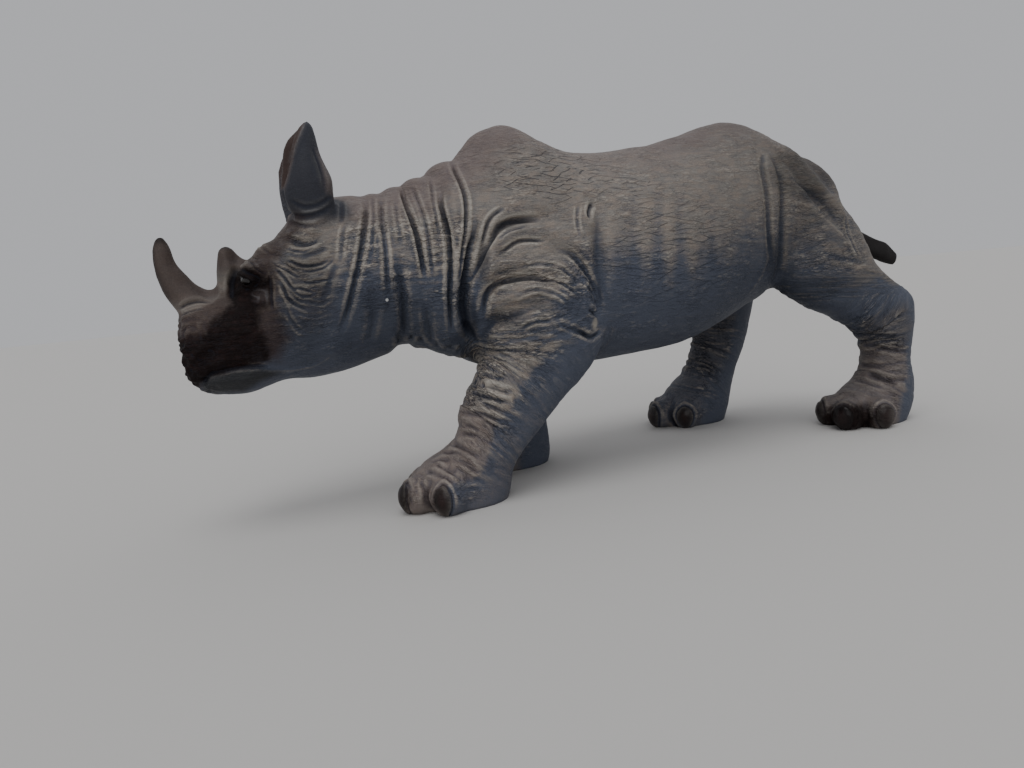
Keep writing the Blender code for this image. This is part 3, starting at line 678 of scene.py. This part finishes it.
def on_ears(points, outer, inner):
    """1 on both ears, 0 at the outer distance from their middle lines."""
    right_ear = [(x, -y, z) for x, y, z in EAR_LINE]
    return np.maximum(*(close_to(line[1:], points, outer, inner) for line in (EAR_LINE, right_ear)))


def slender_parts(points):
    """1 on the ears, the horns, the tail and the toes, which keep their size."""
    return np.maximum.reduce([
        close_to(FRONT_HORN_LINE[1:], points, 9, 6), close_to(REAR_HORN_LINE[1:], points, 8, 5),
        close_to(TAIL_LINE[1:], points, 10, 6), on_ears(points, 11, 8), smooth(9, 5, points[:, 2])])


def leg_frames(points):
    """For every leg: its share of each point, height along it, and the offset from its middle."""
    made = {}
    for name, line in LEG_LINES.items():
        far, along, offset = nearest_on(line, points)
        own_side = smooth(-3, 3, points[:, 1] * (1 if "right" in name else -1))
        share = smooth(*LEG_REACH, far) * smooth(*LEG_TOPS[name], points[:, 2]) * own_side
        made[name] = share, line[0][2] - along, offset
    return made


def on_legs(legs):
    return np.clip(sum(own for own, _, _ in legs.values()), 0, 1)


def flow_of(points, legs):
    """Coordinates whose third runs across the wrinkles: up the trunk, and along each leg."""
    flow = points.copy()
    for share, height, offset in legs.values():
        own = np.column_stack([offset[:, :2], height])
        flow += share[:, None] * (own - flow)
    return flow


def rib_share(seen, trunk):
    """The flank's faint upright ribs, above nought on a rib and below it between two."""
    x, y = seen.T
    ribs = sum(strength * bell(x - middle, RIB_WIDTH) for middle, strength in RIBS)
    return ribs * smooth(*RIBS_TOP, y) * smooth(*RIBS_BOTTOM, y) * trunk


def wrinkled_share(points, legs, seen):
    """How strongly the hide is wrinkled, from 0 to 1."""
    x, y = seen.T
    height = points[:, 2]
    share = np.maximum(LEAST_WRINKLED, strongest(seen, WRINKLED_SPOTS))
    for left, right, top, bottom, strength in WRINKLED_WINDOWS:
        window = smooth(*left, x) * smooth(*right, x) * smooth(*top, y) * smooth(*bottom, y)
        share = np.maximum(share, strength * window)
    share *= 1 - 0.75 * close_to(EAR_LINE[1:], points, 12, 9) * smooth(92, 97, height)
    horns = np.maximum(close_to(FRONT_HORN_LINE, points, 9, 7), close_to(REAR_HORN_LINE, points, 8, 6))
    share *= 1 - 0.9 * np.maximum(horns, close_to(TAIL_LINE[2:], points, 9, 6))
    for name, (own, up_leg, offset) in legs.items():
        forward = forward_of(offset)
        strength = 0.22 + 0.78 * smooth(-0.25, 0.45, forward)
        if "hind" in name:
            strength = strength * (0.2 + 0.8 * smooth(52, 38, up_leg)) + 0.4 * smooth(48, 62, up_leg)
        share = share + own * (strength - share)
        share = share * (1 - 0.55 * own * smooth(15, 9, up_leg) * smooth(0.2, 0.7, forward))
    return share * smooth(0.5, 6, height)


# The carving.
def fold_field(points, line, half_width):
    """The points near a fold, their distance to it in half widths, and its fading ends."""
    reach = FOLD_REACH * half_width
    near = np.flatnonzero(((points > line.min(0) - reach) & (points < line.max(0) + reach)).all(1))
    far, along, _ = nearest_on(line, points[near])
    close = far < reach
    near, far, along = near[close], far[close], along[close]
    length = np.cumsum(length_of(np.diff(line, axis=0)))[-1]
    fading = max(1.2, 0.22 * length)
    fade = smooth(-0.15 * fading, fading, along) * smooth(-0.15 * fading, fading, length - along)
    return near, far / half_width, fade


def fold_lines(tree, drawn, both_sides):
    """The fold as points on the left flank, and on the right one too."""
    length = length_of(np.diff(np.asarray(drawn, float), axis=0)).sum()
    line = cast(tree, run_of(drawn, max(4, int(length / FOLD_STEP))))
    if len(line) < 2:
        return []
    if not both_sides:
        return [line]
    return [line, np.array([tuple(tree.find_nearest(Vector((x, -y, z)))[0]) for x, y, z in line])]


def carve_folds(points, tree):
    """Height of the drawn folds over the hide, and how dark paint gathers in them."""
    height, wash = np.zeros((2, len(points)))
    jobs = [(fold, True) for fold in BOTH_SIDES_FOLDS] + [(fold, False) for fold in LEFT_ONLY_FOLDS]
    for (drawn, half_width, depth, lip), both in jobs:
        for line in fold_lines(tree, drawn, both):
            near, far, fade = fold_field(points, line, half_width)
            lips = lip * bell(far - LIP_PLACE, LIP_BREADTH)
            groove = 0.7 * np.exp(-far ** 1.4) + 0.3 * bell(far, 2.2)
            height[near] += fade * (lips - depth * groove)
            if depth > 0:
                gathered = fade * bell(far, 0.85) * min(1.0, 0.2 + 0.5 * depth)
                wash[near] = np.maximum(wash[near], gathered)
    return height, wash


def carve_lumps(points, tree):
    height = np.zeros(len(points))
    for pixel, radius, rise in FACE_LUMPS + FULLER_LEANER:
        for spot in cast(tree, [pixel]):
            for side in (1, -1):
                height += rise * bell(length_of(points - spot * (1, side, 1)), radius)
    return height


def carve_eyes(points, tree):
    """The eyeball between two lids, sunk under the brow. Returns height and ball."""
    height, ball = np.zeros((2, len(points)))
    spot, normal, *_ = tree.ray_cast(Vector(CAMERA_PLACE), sight_line(EYE_SEEN))
    for side in (1, -1):
        middle = np.array(spot) * (1, side, 1)
        out = np.array(normal) * (1, side, 1)
        across = np.cross((0, 0, 1), out) * side
        across /= length_of(across)
        up = np.cross(out, across) * side
        near = np.flatnonzero(length_of(points - middle) < EYE_REACH)
        offset = points[near] - middle
        along, rise = offset @ across, offset @ up
        opening = np.sqrt((along / EYE_LENGTH) ** 2 + (rise / EYE_HEIGHT) ** 2)
        upper = smooth(-0.4, 0.5, rise)
        height[near] -= SOCKET_DEPTH * bell(length_of(offset), SOCKET_RADIUS)
        height[near] += BALL_RISE * np.sqrt(np.clip(1 - opening ** 2, 0, 1))
        height[near] += (LOWER_LID_RISE + UPPER_LID_MORE * upper) * bell(opening - 1.45, 0.30)
        height[near] -= FURROW_DEPTH * bell(opening - 2.05, 0.28)
        height[near] += BAG_RISE * bell(opening - 2.7, 0.35) * (1 - upper)
        height[near] += BROW_RISE * np.exp(-((rise - 3.4) / 1.1) ** 2 - (along / 3.2) ** 2)
        ball[near] = np.maximum(ball[near], smooth(1.12, 0.92, opening))
    return height, ball


def level_axes(turn):
    """Level directions ahead of a foot turned by so many degrees, and across it."""
    angle = math.radians(180 + turn)
    ahead = np.array([math.cos(angle), math.sin(angle), 0.0])
    return ahead, np.array([-ahead[1], ahead[0], 0.0])


def nail_shares(points):
    """1 on each toenail, a groove round it, the hood of skin over it, its paler middle as a
    painted highlight, and the clefts between the toes."""
    nail, cuticle, hood, nail_highlight, cleft = np.zeros((5, len(points)))
    for name, (x, y, turn, size) in FEET.items():
        half_width, half_height = NAIL_OPENING["hind" if "hind" in name else "front"]
        for spread, reach in TOES:
            ahead, across = level_axes(spread + turn)
            offset = points - (np.array([x, y, TOE_MIDDLE * size]) + ahead * reach * size)
            far = length_of(offset)
            own = smooth(11, 9, far) * (offset @ ahead > 0)
            round_way = np.degrees(np.arctan2(offset @ across, offset @ ahead)) / half_width
            up_way = np.degrees(np.arcsin(np.clip(offset[:, 2] / np.maximum(far, 1e-6), -1, 1))) - NAIL_MIDDLE
            up_way = np.where(up_way > 0, up_way / half_height, up_way / NAIL_BELOW)
            out = np.sqrt(round_way ** 2 + up_way ** 2)
            above = smooth(-20, 10, np.degrees(np.arctan2(up_way, np.abs(round_way))))
            dome = np.sqrt(np.clip(1 - (0.85 * out) ** 2, 0, 1))
            nail = np.maximum(nail, own * smooth(1.06, 0.94, out) * dome)
            cuticle = np.maximum(cuticle, own * bell(out - 1.12, 0.13))
            hood = np.maximum(hood, own * above * bell(out - 1.5, 0.22))
            nail_highlight = np.maximum(nail_highlight, own * smooth(0.75, 0.1, out))
        for spread in (-TOE_CLEFT, TOE_CLEFT):
            outwards, aside = ((points[:, :2] - (x, y)) @ axis[:2] for axis in level_axes(spread + turn))
            share = bell(aside, CLEFT_WIDTH) * smooth(9, 13, outwards)
            cleft = np.maximum(cleft, share * smooth(13, 7, points[:, 2]) * smooth(26, 23, outwards))
    return nail, cuticle, hood, nail_highlight, cleft


def open_ear(points):
    """Brings the left ear's walls forward, so that the inside of its cup shows."""
    line = np.array(EAR_LINE, float)
    height = points[:, 2]
    ahead = points[:, 0] - np.interp(height, line[:, 2], line[:, 0])
    aside = np.interp(height, line[:, 2], line[:, 1]) - points[:, 1]
    along = ahead * math.cos(EAR_TURN) + aside * math.sin(EAR_TURN)
    across = aside * math.cos(EAR_TURN) - ahead * math.sin(EAR_TURN)
    levels, inner, outer = np.array(EAR_OPENED, float).T
    outer = np.interp(height, levels, outer)
    pull = outer + smooth(1.0, -1.5, across) * (np.interp(height, levels, inner) - outer)
    pull *= smooth(2, -4, along) * close_to(EAR_LINE[1:], points, 12, 9) * (points[:, 1] < 0)
    return points + pull[:, None] * (-math.cos(EAR_TURN), math.sin(EAR_TURN), 0.0)


def carve(obj):
    """Melts the facets away, then carves folds, wrinkles, eyes and nails into the hide.
    Returns the points, and on each the dark wash, the relief and the eyeball."""
    edges = column(obj.data.edges, "vertices", 2, int)
    rough = places(obj)
    slender = slender_parts(rough)
    wide = melted(rough, edges, *BODY_MELTING)
    narrow = melted(rough, edges, *SLENDER_MELTING)
    base = wide + slender[:, None] * (narrow - wide)
    rounded = melted(narrow, edges, *TAIL_MELTING)
    base += close_to(TAIL_LINE[2:], rough, 9, 6)[:, None] * (rounded - base)
    base = open_ear(base)
    sole = rough[:, 2] < SOLE_HEIGHT
    base[sole, 2] = 0
    move_to(obj, base)
    normals = column(obj.data.vertex_normals, "vector", 3)
    tree = surface_of(obj, base)

    legs = leg_frames(base)
    seen = seen_at(base)
    warped = flow_of(base, legs)
    warped[:, 2] += WARP * (2 * mottle(warped, (9, 9, 7), 3.1) - 1)
    leg_share = on_legs(legs)
    folds, wash = carve_folds(base, tree)
    eyes, ball = carve_eyes(base, tree)
    nail, cuticle, hood, _, cleft = nail_shares(base)

    bare = np.clip(slender + nail + ball, 0, 1)
    coarse, fine = (wrinkles(warped, *cells) for cells in (COARSE_CELLS, FINE_CELLS))
    creased = (0.48 + 0.72 * leg_share) * coarse + 0.34 * fine
    creased = wrinkled_share(base, legs, seen) * (1 - bare) * creased
    muzzle = inside(MUZZLE_EDGE, seen, 7) * smooth(-95, -105, base[:, 0])
    nose = smooth(72, 66, base[:, 2]) * smooth(-133, -139, base[:, 0])
    knobs = muzzle * (0.5 * swell(warped, *MUZZLE_CELLS) + 0.35 * swell(base, *GRAIN_CELLS))
    knobs = (1 - ball) * (knobs + nose * 1.4 * swell(base, *NOSE_CELLS))
    dents = 0.35 * swell(base, *DENT_CELLS) * (1 - slender)

    height = folds + eyes + carve_lumps(base, tree) + creased + knobs + dents
    height += RIB_RISE * rib_share(seen, 1 - leg_share)
    height += NAIL_RISE * nail - CUTICLE_DEPTH * cuticle + HOOD_RISE * hood - CLEFT_DEPTH * cleft
    carved = base + normals * height[:, None]
    carved = carved + 0.5 * (evened(carved, edges, 1) - carved)
    carved = np.clip(carved, BOX_LOW, BOX_HIGH)
    carved[:, 2] = np.maximum(carved[:, 2], 0)
    carved[sole, 2] = 0
    move_to(obj, carved)
    return carved, (np.maximum(wash, 0.75 * cleft), height - evened(height, edges, RELIEF_PASSES), ball)


def layers_of(points, surface, wash, relief, ball):
    """The coats of paint and other values on each point, three to a layer, and the flow."""
    legs = leg_frames(points)
    seen = seen_at(points)
    x, y = seen.T
    height = points[:, 2]
    blot = mottle(points, 9, 4.4) + 0.6 * mottle(points, 3.2, 6.1) - 0.8
    trunk = 1 - on_legs(legs)
    level = y + 16 * blot
    tan, mauve = (smooth(soft, -soft, level - np.interp(x, *np.array(edge, float).T))
                  for edge, soft in ((TAN_EDGE, TAN_SOFT), (MAUVE_EDGE, MAUVE_SOFT)))
    tan += 0.16 * rib_share(seen, trunk)
    for middle, radii, strength in THIN_BRUSHING:
        tan -= strength * trunk * patch(seen, middle, radii)
    # Darker towards the rear and in spots: partly duller paint, partly painted shade.
    dull_and_shade = DULL_SHADE_MOST * smooth(DULL_SHADE_FROM, DULL_SHADE_TO, x) * smooth(-60, -20, points[:, 0])
    dull_and_shade = np.maximum(dull_and_shade, strongest(seen, DULL_AND_SHADED_SPOTS) * (0.3 + 0.7 * trunk))
    shin = np.zeros(len(points))
    for name, (own, up_leg, offset) in legs.items():
        own = smooth(0, 1, own + 4 * blot * own * (1 - own))
        if name == "hind_left":
            own = own * (1 - smooth(46, 60, up_leg))
        front = smooth(-0.1, 0.5, forward_of(offset) + 0.25 * blot)
        if name == "front_left":
            front = 1 - inside(FORELEG_BLUE, seen + 3 * blot[:, None], 6)
        front = front * smooth(62, 45, up_leg)
        if "hind" in name:
            in_all, on_foot, rubbed_off, dullness_and_shade = HIND_PAINT[name]
            brown = inside(SHIN_BROWN, seen + 3 * blot[:, None], 6) if name == "hind_left" else front
            foot = smooth(17, 11, up_leg)
            shin = np.maximum(shin, own * brown * smooth(60, 48, up_leg)) * (1 - rubbed_off * own * foot)
            front = (0.45 + 0.45 * on_foot * foot) * brown * smooth(62, 45, up_leg) * in_all
            dull_and_shade = dull_and_shade + own * (dullness_and_shade - dull_and_shade)
        if name == "front_left":
            front = np.maximum(front, 0.3 * smooth(45, 15, up_leg))
        if name == "front_right":
            dull_and_shade = dull_and_shade + own * (0.08 - dull_and_shade)
        tan = tan + own * (0.9 * front - tan)
        mauve = mauve + own * (0.7 * front * smooth(26, 8, up_leg) - mauve)
    hollow = trunk * strongest(seen, BLUE_HOLLOWS)
    cracked = trunk * strongest(seen, CRACKED)
    nail, cuticle, _, nail_highlight, _ = nail_shares(points)
    near_feet = smooth(15, 9, height) * smooth(-2, -6, points[:, 1])
    tail = close_to(TAIL_LINE[2:], points, 8, 6) * smooth(112, 118, points[:, 0])
    head = smooth(-88, -98, points[:, 0])
    blurred = seen + 9 * blot[:, None]
    maroon = np.maximum(0.8 * inside(MUZZLE_EDGE, blurred, 10), inside(MUZZLE_CORE, blurred, 12))
    maroon = np.maximum(maroon, np.clip(strongest(seen, EYE_SOCKETS), 0, 1)) * head
    maroon = np.maximum.reduce([maroon, 0.4 * cuticle, near_feet * strongest(seen, TOE_DARK_PATCHES)])
    lid_highlight = strongest(seen, LID_HIGHLIGHTS) * head
    maroon *= 1 - 0.7 * lid_highlight
    face = np.maximum(strongest(seen, CHEEK_BROWN), inside(FACE_BROWN, blurred, 16)) * head
    ear_inside = inside(EAR_INSIDE, seen, 3)
    face = np.maximum(face, ear_inside * smooth(92, 97, height))
    shaded_jaw = inside(SHADED_JAW_PATCH, seen, 4) * head
    ears = on_ears(points, 12, 9) * smooth(91, 96, height)
    # Less ear grey on the back of the ear: painted light.
    ears *= (1 - ear_inside) * (1 - 0.55 * inside(EAR_BACK_LIT, seen, 3))
    horns = np.maximum(close_to(FRONT_HORN_LINE, points, 9, 7) * smooth(68, 76, height),
                       close_to(REAR_HORN_LINE, points, 8, 6.2) * smooth(77, 84, height))
    front_edge = smooth(0.6, 0.97, forward_of(nearest_on(FRONT_HORN_LINE, points)[2]))
    front_edge *= horns * smooth(-130, -136, points[:, 0])
    tips = np.maximum.reduce([0.7 * front_edge, close_to(FRONT_TIP, points, 4.5, 1.5),
                              close_to(REAR_TIP, points, 4, 1)])
    worn = smooth(1.2, 0.5, length_of(points - cast(surface, [WORN_SPOT])[0]) / WORN_SIZE)
    return {"coats": (tan, mauve, maroon * (1 - shaded_jaw) * (1 - horns)), "marks": (wash, 0.5 + relief, dull_and_shade),
            "regions": (wrinkled_share(points, legs, seen), horns, shaded_jaw), "darks": (tips, tail, ball),
            "washes": (face * (1 - horns), hollow, cracked), "touches": (ears, worn, shin),
            "nails": (nail, nail_highlight, lid_highlight)}, flow_of(points, legs)


def thin_out(obj):
    """Fewer triangles, region by region: most are kept on the head and the left flank."""
    for region, kept in enumerate((FAR_SIDE_TRIANGLES, NEAR_SIDE_TRIANGLES, HEAD_TRIANGLES)):
        x, y, _ = places(obj).T
        chosen = np.where(x <= HEAD_END, 2, y <= FLANK_EDGE) == region
        faces = obj.data.polygons
        first_corners = column(faces, "loop_start", kind=int)
        first_points = column(obj.data.loops, "vertex_index", kind=int)[first_corners]
        triangles = column(faces, "loop_total", kind=int) - 2
        everything = int(triangles.sum())
        inside_now = int(triangles[chosen[first_points]].sum())
        group = obj.vertex_groups.new(name="thinned")
        group.add(np.flatnonzero(chosen).tolist(), 1.0, "REPLACE")
        apply_modifier(obj, "DECIMATE", ratio=(everything - inside_now + kept) / everything,
                       vertex_group=group.name, vertex_group_factor=1.0)
        obj.vertex_groups.clear()


def make_casting():
    """The carved hide with its layers of values, and the place of its paint chip."""
    obj = solid_copy()
    apply_modifier(obj, "REMESH", mode="VOXEL", voxel_size=CARVING_GRAIN * MM)
    dense, fields = carve(obj)
    tree = KDTree(len(dense))
    for index, place in enumerate(dense.tolist()):
        tree.insert(place, index)
    tree.balance()
    thin_out(obj)
    points = np.clip(places(obj), BOX_LOW + BOX_INSET, BOX_HIGH - BOX_INSET)
    move_to(obj, points)
    source = np.array([tree.find(place)[1] for place in points.tolist()])
    surface = surface_of(obj, points)
    layers, flow_rows = layers_of(points, surface, *(field[source] for field in fields))
    for name, values in layers.items():
        rows = np.column_stack([*values, np.ones(len(points))])
        layer = obj.data.attributes.new(name, "FLOAT_COLOR", "POINT")
        layer.data.foreach_set("color", np.clip(rows, 0, 1).ravel())
    flow = obj.data.attributes.new("flow", "FLOAT_VECTOR", "POINT")
    flow.data.foreach_set("vector", flow_rows.ravel())
    only(obj)
    bpy.ops.object.shade_smooth()
    return obj, tuple(cast(surface, [PAINT_CHIP])[0])


# The paint.
class Nodes:
    """Short words for making and joining shader nodes."""

    def __init__(self, tree):
        self.tree = tree

    def add(self, kind, inputs=(), **settings):
        """A new node with its settings, and with values or joints at its inputs."""
        node = self.tree.nodes.new(kind)
        for name, value in settings.items():
            setattr(node, name, value)
        for key, value in dict(inputs).items():
            self.put(value, node.inputs[key])
        return node

    def put(self, value, socket):
        if isinstance(value, bpy.types.NodeSocket):
            self.tree.links.new(value, socket)
        else:
            socket.default_value = value

    def math(self, operation, first, second=0.0, clamp=False):
        node = self.add("ShaderNodeMath", {0: first, 1: second}, operation=operation, use_clamp=clamp)
        return node.outputs[0]

    def times(self, first, second):
        return self.math("MULTIPLY", first, second)

    def most(self, first, second):
        return self.math("MAXIMUM", first, second)

    def less(self, first, second, clamp=False):
        return self.math("SUBTRACT", first, second, clamp)

    def sum(self, first, *others):
        for other in others:
            first = self.math("ADD", first, other)
        return first

    def swing(self, value, size):
        """A value from 0 to 1 as a swing about nought."""
        return self.times(self.less(value, 0.5), size)

    def step(self, *numbers):
        """A value's soft step between two others, from 0 to 1 or between two more."""
        inputs = dict(enumerate(numbers))
        return self.add("ShaderNodeMapRange", inputs, interpolation_type="SMOOTHSTEP").outputs[0]

    def mix(self, share, first, second):
        first, second = ((*item, 1.0) if isinstance(item, tuple) else item for item in (first, second))
        return self.add("ShaderNodeMix", {"Factor": share, 6: first, 7: second}, data_type="RGBA").outputs[2]

    def turned(self, vector, degrees):
        """The vector turned about the axis that runs across the flank."""
        inputs = {"Vector": vector, "Rotation": (0.0, math.radians(degrees), 0.0)}
        return self.add("ShaderNodeMapping", inputs).outputs[0]

    def noise(self, vector, scale, detail, roughness, stretch=None):
        if stretch:
            vector = self.add("ShaderNodeMapping", {"Vector": vector, "Scale": stretch}).outputs[0]
        inputs = {"Vector": vector, "Scale": scale, "Detail": detail, "Roughness": roughness}
        return self.add("ShaderNodeTexNoise", inputs).outputs[0]

    def bands(self, vector, gap, sway):
        """Waves whose troughs are the gap apart and swing about as they run."""
        inputs = {"Vector": vector, "Scale": 2 * math.pi / 20 / gap, "Distortion": sway,
                  "Detail": 1.0, "Detail Scale": 0.8}
        looks = {"wave_type": "BANDS", "bands_direction": "Z", "wave_profile": "SIN"}
        return self.add("ShaderNodeTexWave", inputs, **looks).outputs["Fac"]

    def attribute(self, name):
        return self.add("ShaderNodeAttribute", attribute_name=name)

    def channels(self, name):
        """The three values painted under one name."""
        return self.add("ShaderNodeSeparateColor", {0: self.attribute(name).outputs["Color"]}).outputs


def crinkle_group():
    """Fine wrinkles of the hide and thin cracks: height, dark of the valleys, and crests."""
    group = bpy.data.node_groups.new("fine_wrinkles", "ShaderNodeTree")
    group.interface.new_socket("Flow", in_out="INPUT", socket_type="NodeSocketVector")
    for name in ("Strength", "Cracked"):
        group.interface.new_socket(name, in_out="INPUT", socket_type="NodeSocketFloat").default_value = 0.5
    for name in ("Height", "Valley", "Crest"):
        group.interface.new_socket(name, in_out="OUTPUT", socket_type="NodeSocketFloat")
    n = Nodes(group)
    flow, strength, cracked = list(n.add("NodeGroupInput").outputs)[:3]
    ridge, small = (n.math("ABSOLUTE", n.less(n.noise(flow, *look), 0.5)) for look in RIDGE_NOISES)
    strong = n.times(strength, n.step(n.noise(flow, 0.13, 2.0, 0.5), 0.35, 0.62, 0.35, 1.0))
    soft_ridge = n.step(ridge, 0.0, 0.13)
    soft_small = n.step(small, 0.0, 0.12)
    height = n.sum(n.times(soft_ridge, 0.65), n.times(soft_small, 0.35))
    valley = n.most(n.step(ridge, 0.028, 0.004), n.times(n.step(small, 0.03, 0.004), 0.6))
    crest = n.step(n.times(soft_ridge, soft_small), 0.55, 1.0)
    crack = 0.0
    for turn, gap in CRACK_TURNS_GAPS:
        strokes = n.bands(n.turned(flow, turn), gap, 5.0)
        parts = n.noise(n.turned(flow, turn + 2.0), 0.42, 1.0, 0.5, (0.4, 0.4, 1.0))
        crack = n.most(crack, n.times(n.step(strokes, 0.050, 0.008), n.step(parts, 0.52, 0.58)))
    crack = n.times(crack, cracked)
    n.add("NodeGroupOutput", {
        "Height": n.less(n.times(height, strong), n.times(crack, 0.35)),
        "Valley": n.most(n.times(valley, strong), n.times(crack, 0.65)),
        "Crest": n.times(crest, strong)})
    return group


def painted_hide(chip_place):
    material = bpy.data.materials.new("painted_hide")
    material.use_nodes = True
    n = Nodes(material.node_tree)
    shader = material.node_tree.nodes["Principled BSDF"]
    tan, mauve, maroon = n.channels("coats")
    wash, relief, dull_and_shade = n.channels("marks")
    wrinkled, horn, shaded_jaw = n.channels("regions")
    tip, tail, ball = n.channels("darks")
    face, hollow, cracked = n.channels("washes")
    ear, worn, shin = n.channels("touches")
    nail, nail_highlight, lid_highlight = n.channels("nails")
    flow = n.attribute("flow").outputs["Vector"]
    in_metres = n.add("ShaderNodeTexCoord").outputs["Object"]
    place = n.add("ShaderNodeVectorMath", {0: in_metres, "Scale": 1 / MM}, operation="SCALE").outputs[0]
    to_chip = n.add("ShaderNodeVectorMath", {0: place, 1: chip_place}, operation="DISTANCE")
    chip = n.step(to_chip.outputs["Value"], CHIP_SIZE, 0.6 * CHIP_SIZE)

    crinkle = n.add("ShaderNodeGroup", node_tree=crinkle_group())
    for value, socket in zip((flow, wrinkled, cracked), crinkle.inputs):
        n.put(value, socket)
    height, valley, crest = crinkle.outputs

    blot = n.noise(place, 0.16, 4.0, 0.6)
    speck = n.noise(place, 1.1, 3.0, 0.6)
    grit = n.noise(place, 3.6, 2.0, 0.5)
    streak = n.noise(flow, 0.55, 4.0, 0.65, (0.4, 0.4, 1.0))
    raised = n.step(relief, 0.36, 0.64)

    caught = n.times(n.less(crest, valley), 0.45)
    brushed = n.sum(tan, n.swing(blot, 0.4), n.swing(speck, 0.3), n.swing(raised, 0.7), caught)
    brushed = n.times(n.step(brushed, 0.0, 1.1), 0.92)
    colour = n.mix(brushed, SLATE_BLUE, n.mix(n.step(streak, 0.35, 0.7), DRY_TAN, WARM_TAN))
    colour = n.mix(n.times(crest, n.sum(n.times(brushed, 0.5), 0.18)), colour, CREST_TAN)
    lit = n.times(n.times(n.step(relief, 0.51, 0.74), brushed), 0.6)
    colour = n.mix(lit, colour, CREST_TAN)
    mauve_share = n.step(n.sum(mauve, n.swing(speck, 0.3), n.swing(blot, 0.4)), 0.0, 1.1)
    colour = n.mix(n.times(mauve_share, 0.72), colour, MAUVE_WASH)
    hollow_share = n.step(n.sum(hollow, n.swing(speck, 0.3)), 0.0, 1.0)
    colour = n.mix(n.times(hollow_share, 0.8), colour, DARK_BLUE)
    colour = n.mix(n.times(shin, 0.52), colour, SHIN_UMBER)
    # Ears: dark blue in the hollows, grey elsewhere, and a painted highlight on the raised rims.
    ear_colour = n.mix(n.step(relief, 0.58, 0.85), n.mix(raised, DARK_BLUE, EAR_GREY), EAR_RIM_HIGHLIGHT)
    colour = n.mix(n.times(ear, 0.95), colour, ear_colour)
    face_share = n.step(n.sum(face, n.swing(streak, 0.5)), 0.1, 0.95)
    colour = n.mix(n.times(face_share, 0.85), colour, FACE_UMBER)
    # The jaw is painted dark grey, as painted shade under the head.
    colour = n.mix(shaded_jaw, colour, JAW_GREY_IN_SHADE)
    horn_colour = n.mix(n.noise(flow, 0.5, 3.0, 0.6, (1.0, 1.0, 0.15)), HORN_BROWN, HORN_LIGHT)
    colour = n.mix(n.times(horn, 0.9), colour, horn_colour)
    colour = n.mix(tip, colour, HORN_TIP)
    maroon_share = n.step(n.sum(maroon, n.swing(speck, 0.4), n.swing(streak, 0.5)), 0.1, 0.78)
    colour = n.mix(maroon_share, colour, n.mix(n.step(streak, 0.45, 0.75), MAROON, MAROON_STREAK))
    # Lighter grey on the raised skin of the lids: painted highlight.
    colour = n.mix(n.times(lid_highlight, n.step(relief, 0.50, 0.66, 0.12, 0.9)), colour, LID_HIGHLIGHT_GREY)
    colour = n.mix(tail, colour, TAIL_BLACK)
    dark = n.most(n.step(wash, 0.1, 0.95), n.times(valley, 0.95))
    dark = n.most(dark, n.step(relief, 0.36, 0.12, 0.0, 0.75))
    colour = n.mix(n.times(dark, 0.85), colour, n.mix(n.step(mauve, 0.0, 0.6), BLUE_BLACK, WASH_BROWN))
    colour = n.mix(n.times(worn, 0.8), colour, WORN_CREAM)
    # The nails, paler in the middle as a painted highlight.
    colour = n.mix(nail, colour, n.mix(nail_highlight, NAIL_DARK, NAIL_HIGHLIGHT))
    colour = n.mix(ball, colour, EYE_BLACK)
    colour = n.mix(chip, colour, CHIP_WHITE)
    # Darker where the paint is duller and where shade is painted in.
    value = n.times(n.step(grit, 0.25, 0.75, 0.84, 1.14), n.less(1.0, n.times(dull_and_shade, 0.58)))
    shade = n.add("ShaderNodeHueSaturation", {"Value": value, "Color": colour})
    n.put(shade.outputs[0], shader.inputs["Base Color"])

    rough = n.sum(n.step(speck, 0.2, 0.8, 0.48, 0.66), n.times(maroon, 0.2))
    n.put(n.less(rough, n.times(ball, 0.5), clamp=True), shader.inputs["Roughness"])
    n.put(n.most(n.times(nail, 0.3), ball), shader.inputs["Coat Weight"])
    shader.inputs["Coat Roughness"].default_value = 0.12
    shader.inputs["Specular IOR Level"].default_value = 0.17

    whole = n.sum(height, n.times(grit, 0.06), n.times(speck, 0.10))
    bump = n.add("ShaderNodeBump", {"Strength": 1.0, "Distance": BUMP_DEPTH * MM, "Height": whole})
    n.put(bump.outputs[0], shader.inputs["Normal"])
    return material


def plain_floor():
    bpy.ops.object.select_all(action="DESELECT")
    bpy.ops.mesh.primitive_plane_add(size=FLOOR_SIZE, location=(0, 0, 0))
    floor = bpy.context.object
    floor.name = "floor"
    material = bpy.data.materials.new("floor_grey")
    material.use_nodes = True
    shader = material.node_tree.nodes["Principled BSDF"]
    shader.inputs["Base Color"].default_value = (*FLOOR_GREY, 1)
    shader.inputs["Roughness"].default_value = 0.85
    floor.data.materials.append(material)


def light_up():
    """An even sky, and soft light from three sides as from large soft boxes."""
    world = bpy.data.worlds.new("studio")
    bpy.context.scene.world = world
    world.use_nodes = True
    background = world.node_tree.nodes["Background"]
    background.inputs["Color"].default_value = (*SKY_GREY, 1)
    background.inputs["Strength"].default_value = 1.0
    for name, place, spread, power in SOFT_LIGHTS:
        data = bpy.data.lights.new(name, "SUN")
        data.angle = math.radians(spread)
        data.energy = power
        light = bpy.data.objects.new(name, data)
        light.location = place
        light.rotation_euler = (-Vector(place)).to_track_quat("-Z", "Y").to_euler()
        bpy.context.scene.collection.objects.link(light)


make_camera()
casting, chip_place = make_casting()
casting.data.materials.clear()
casting.data.materials.append(painted_hide(chip_place))
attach(casting, "root")
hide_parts("rhinoceros")
plain_floor()
light_up()
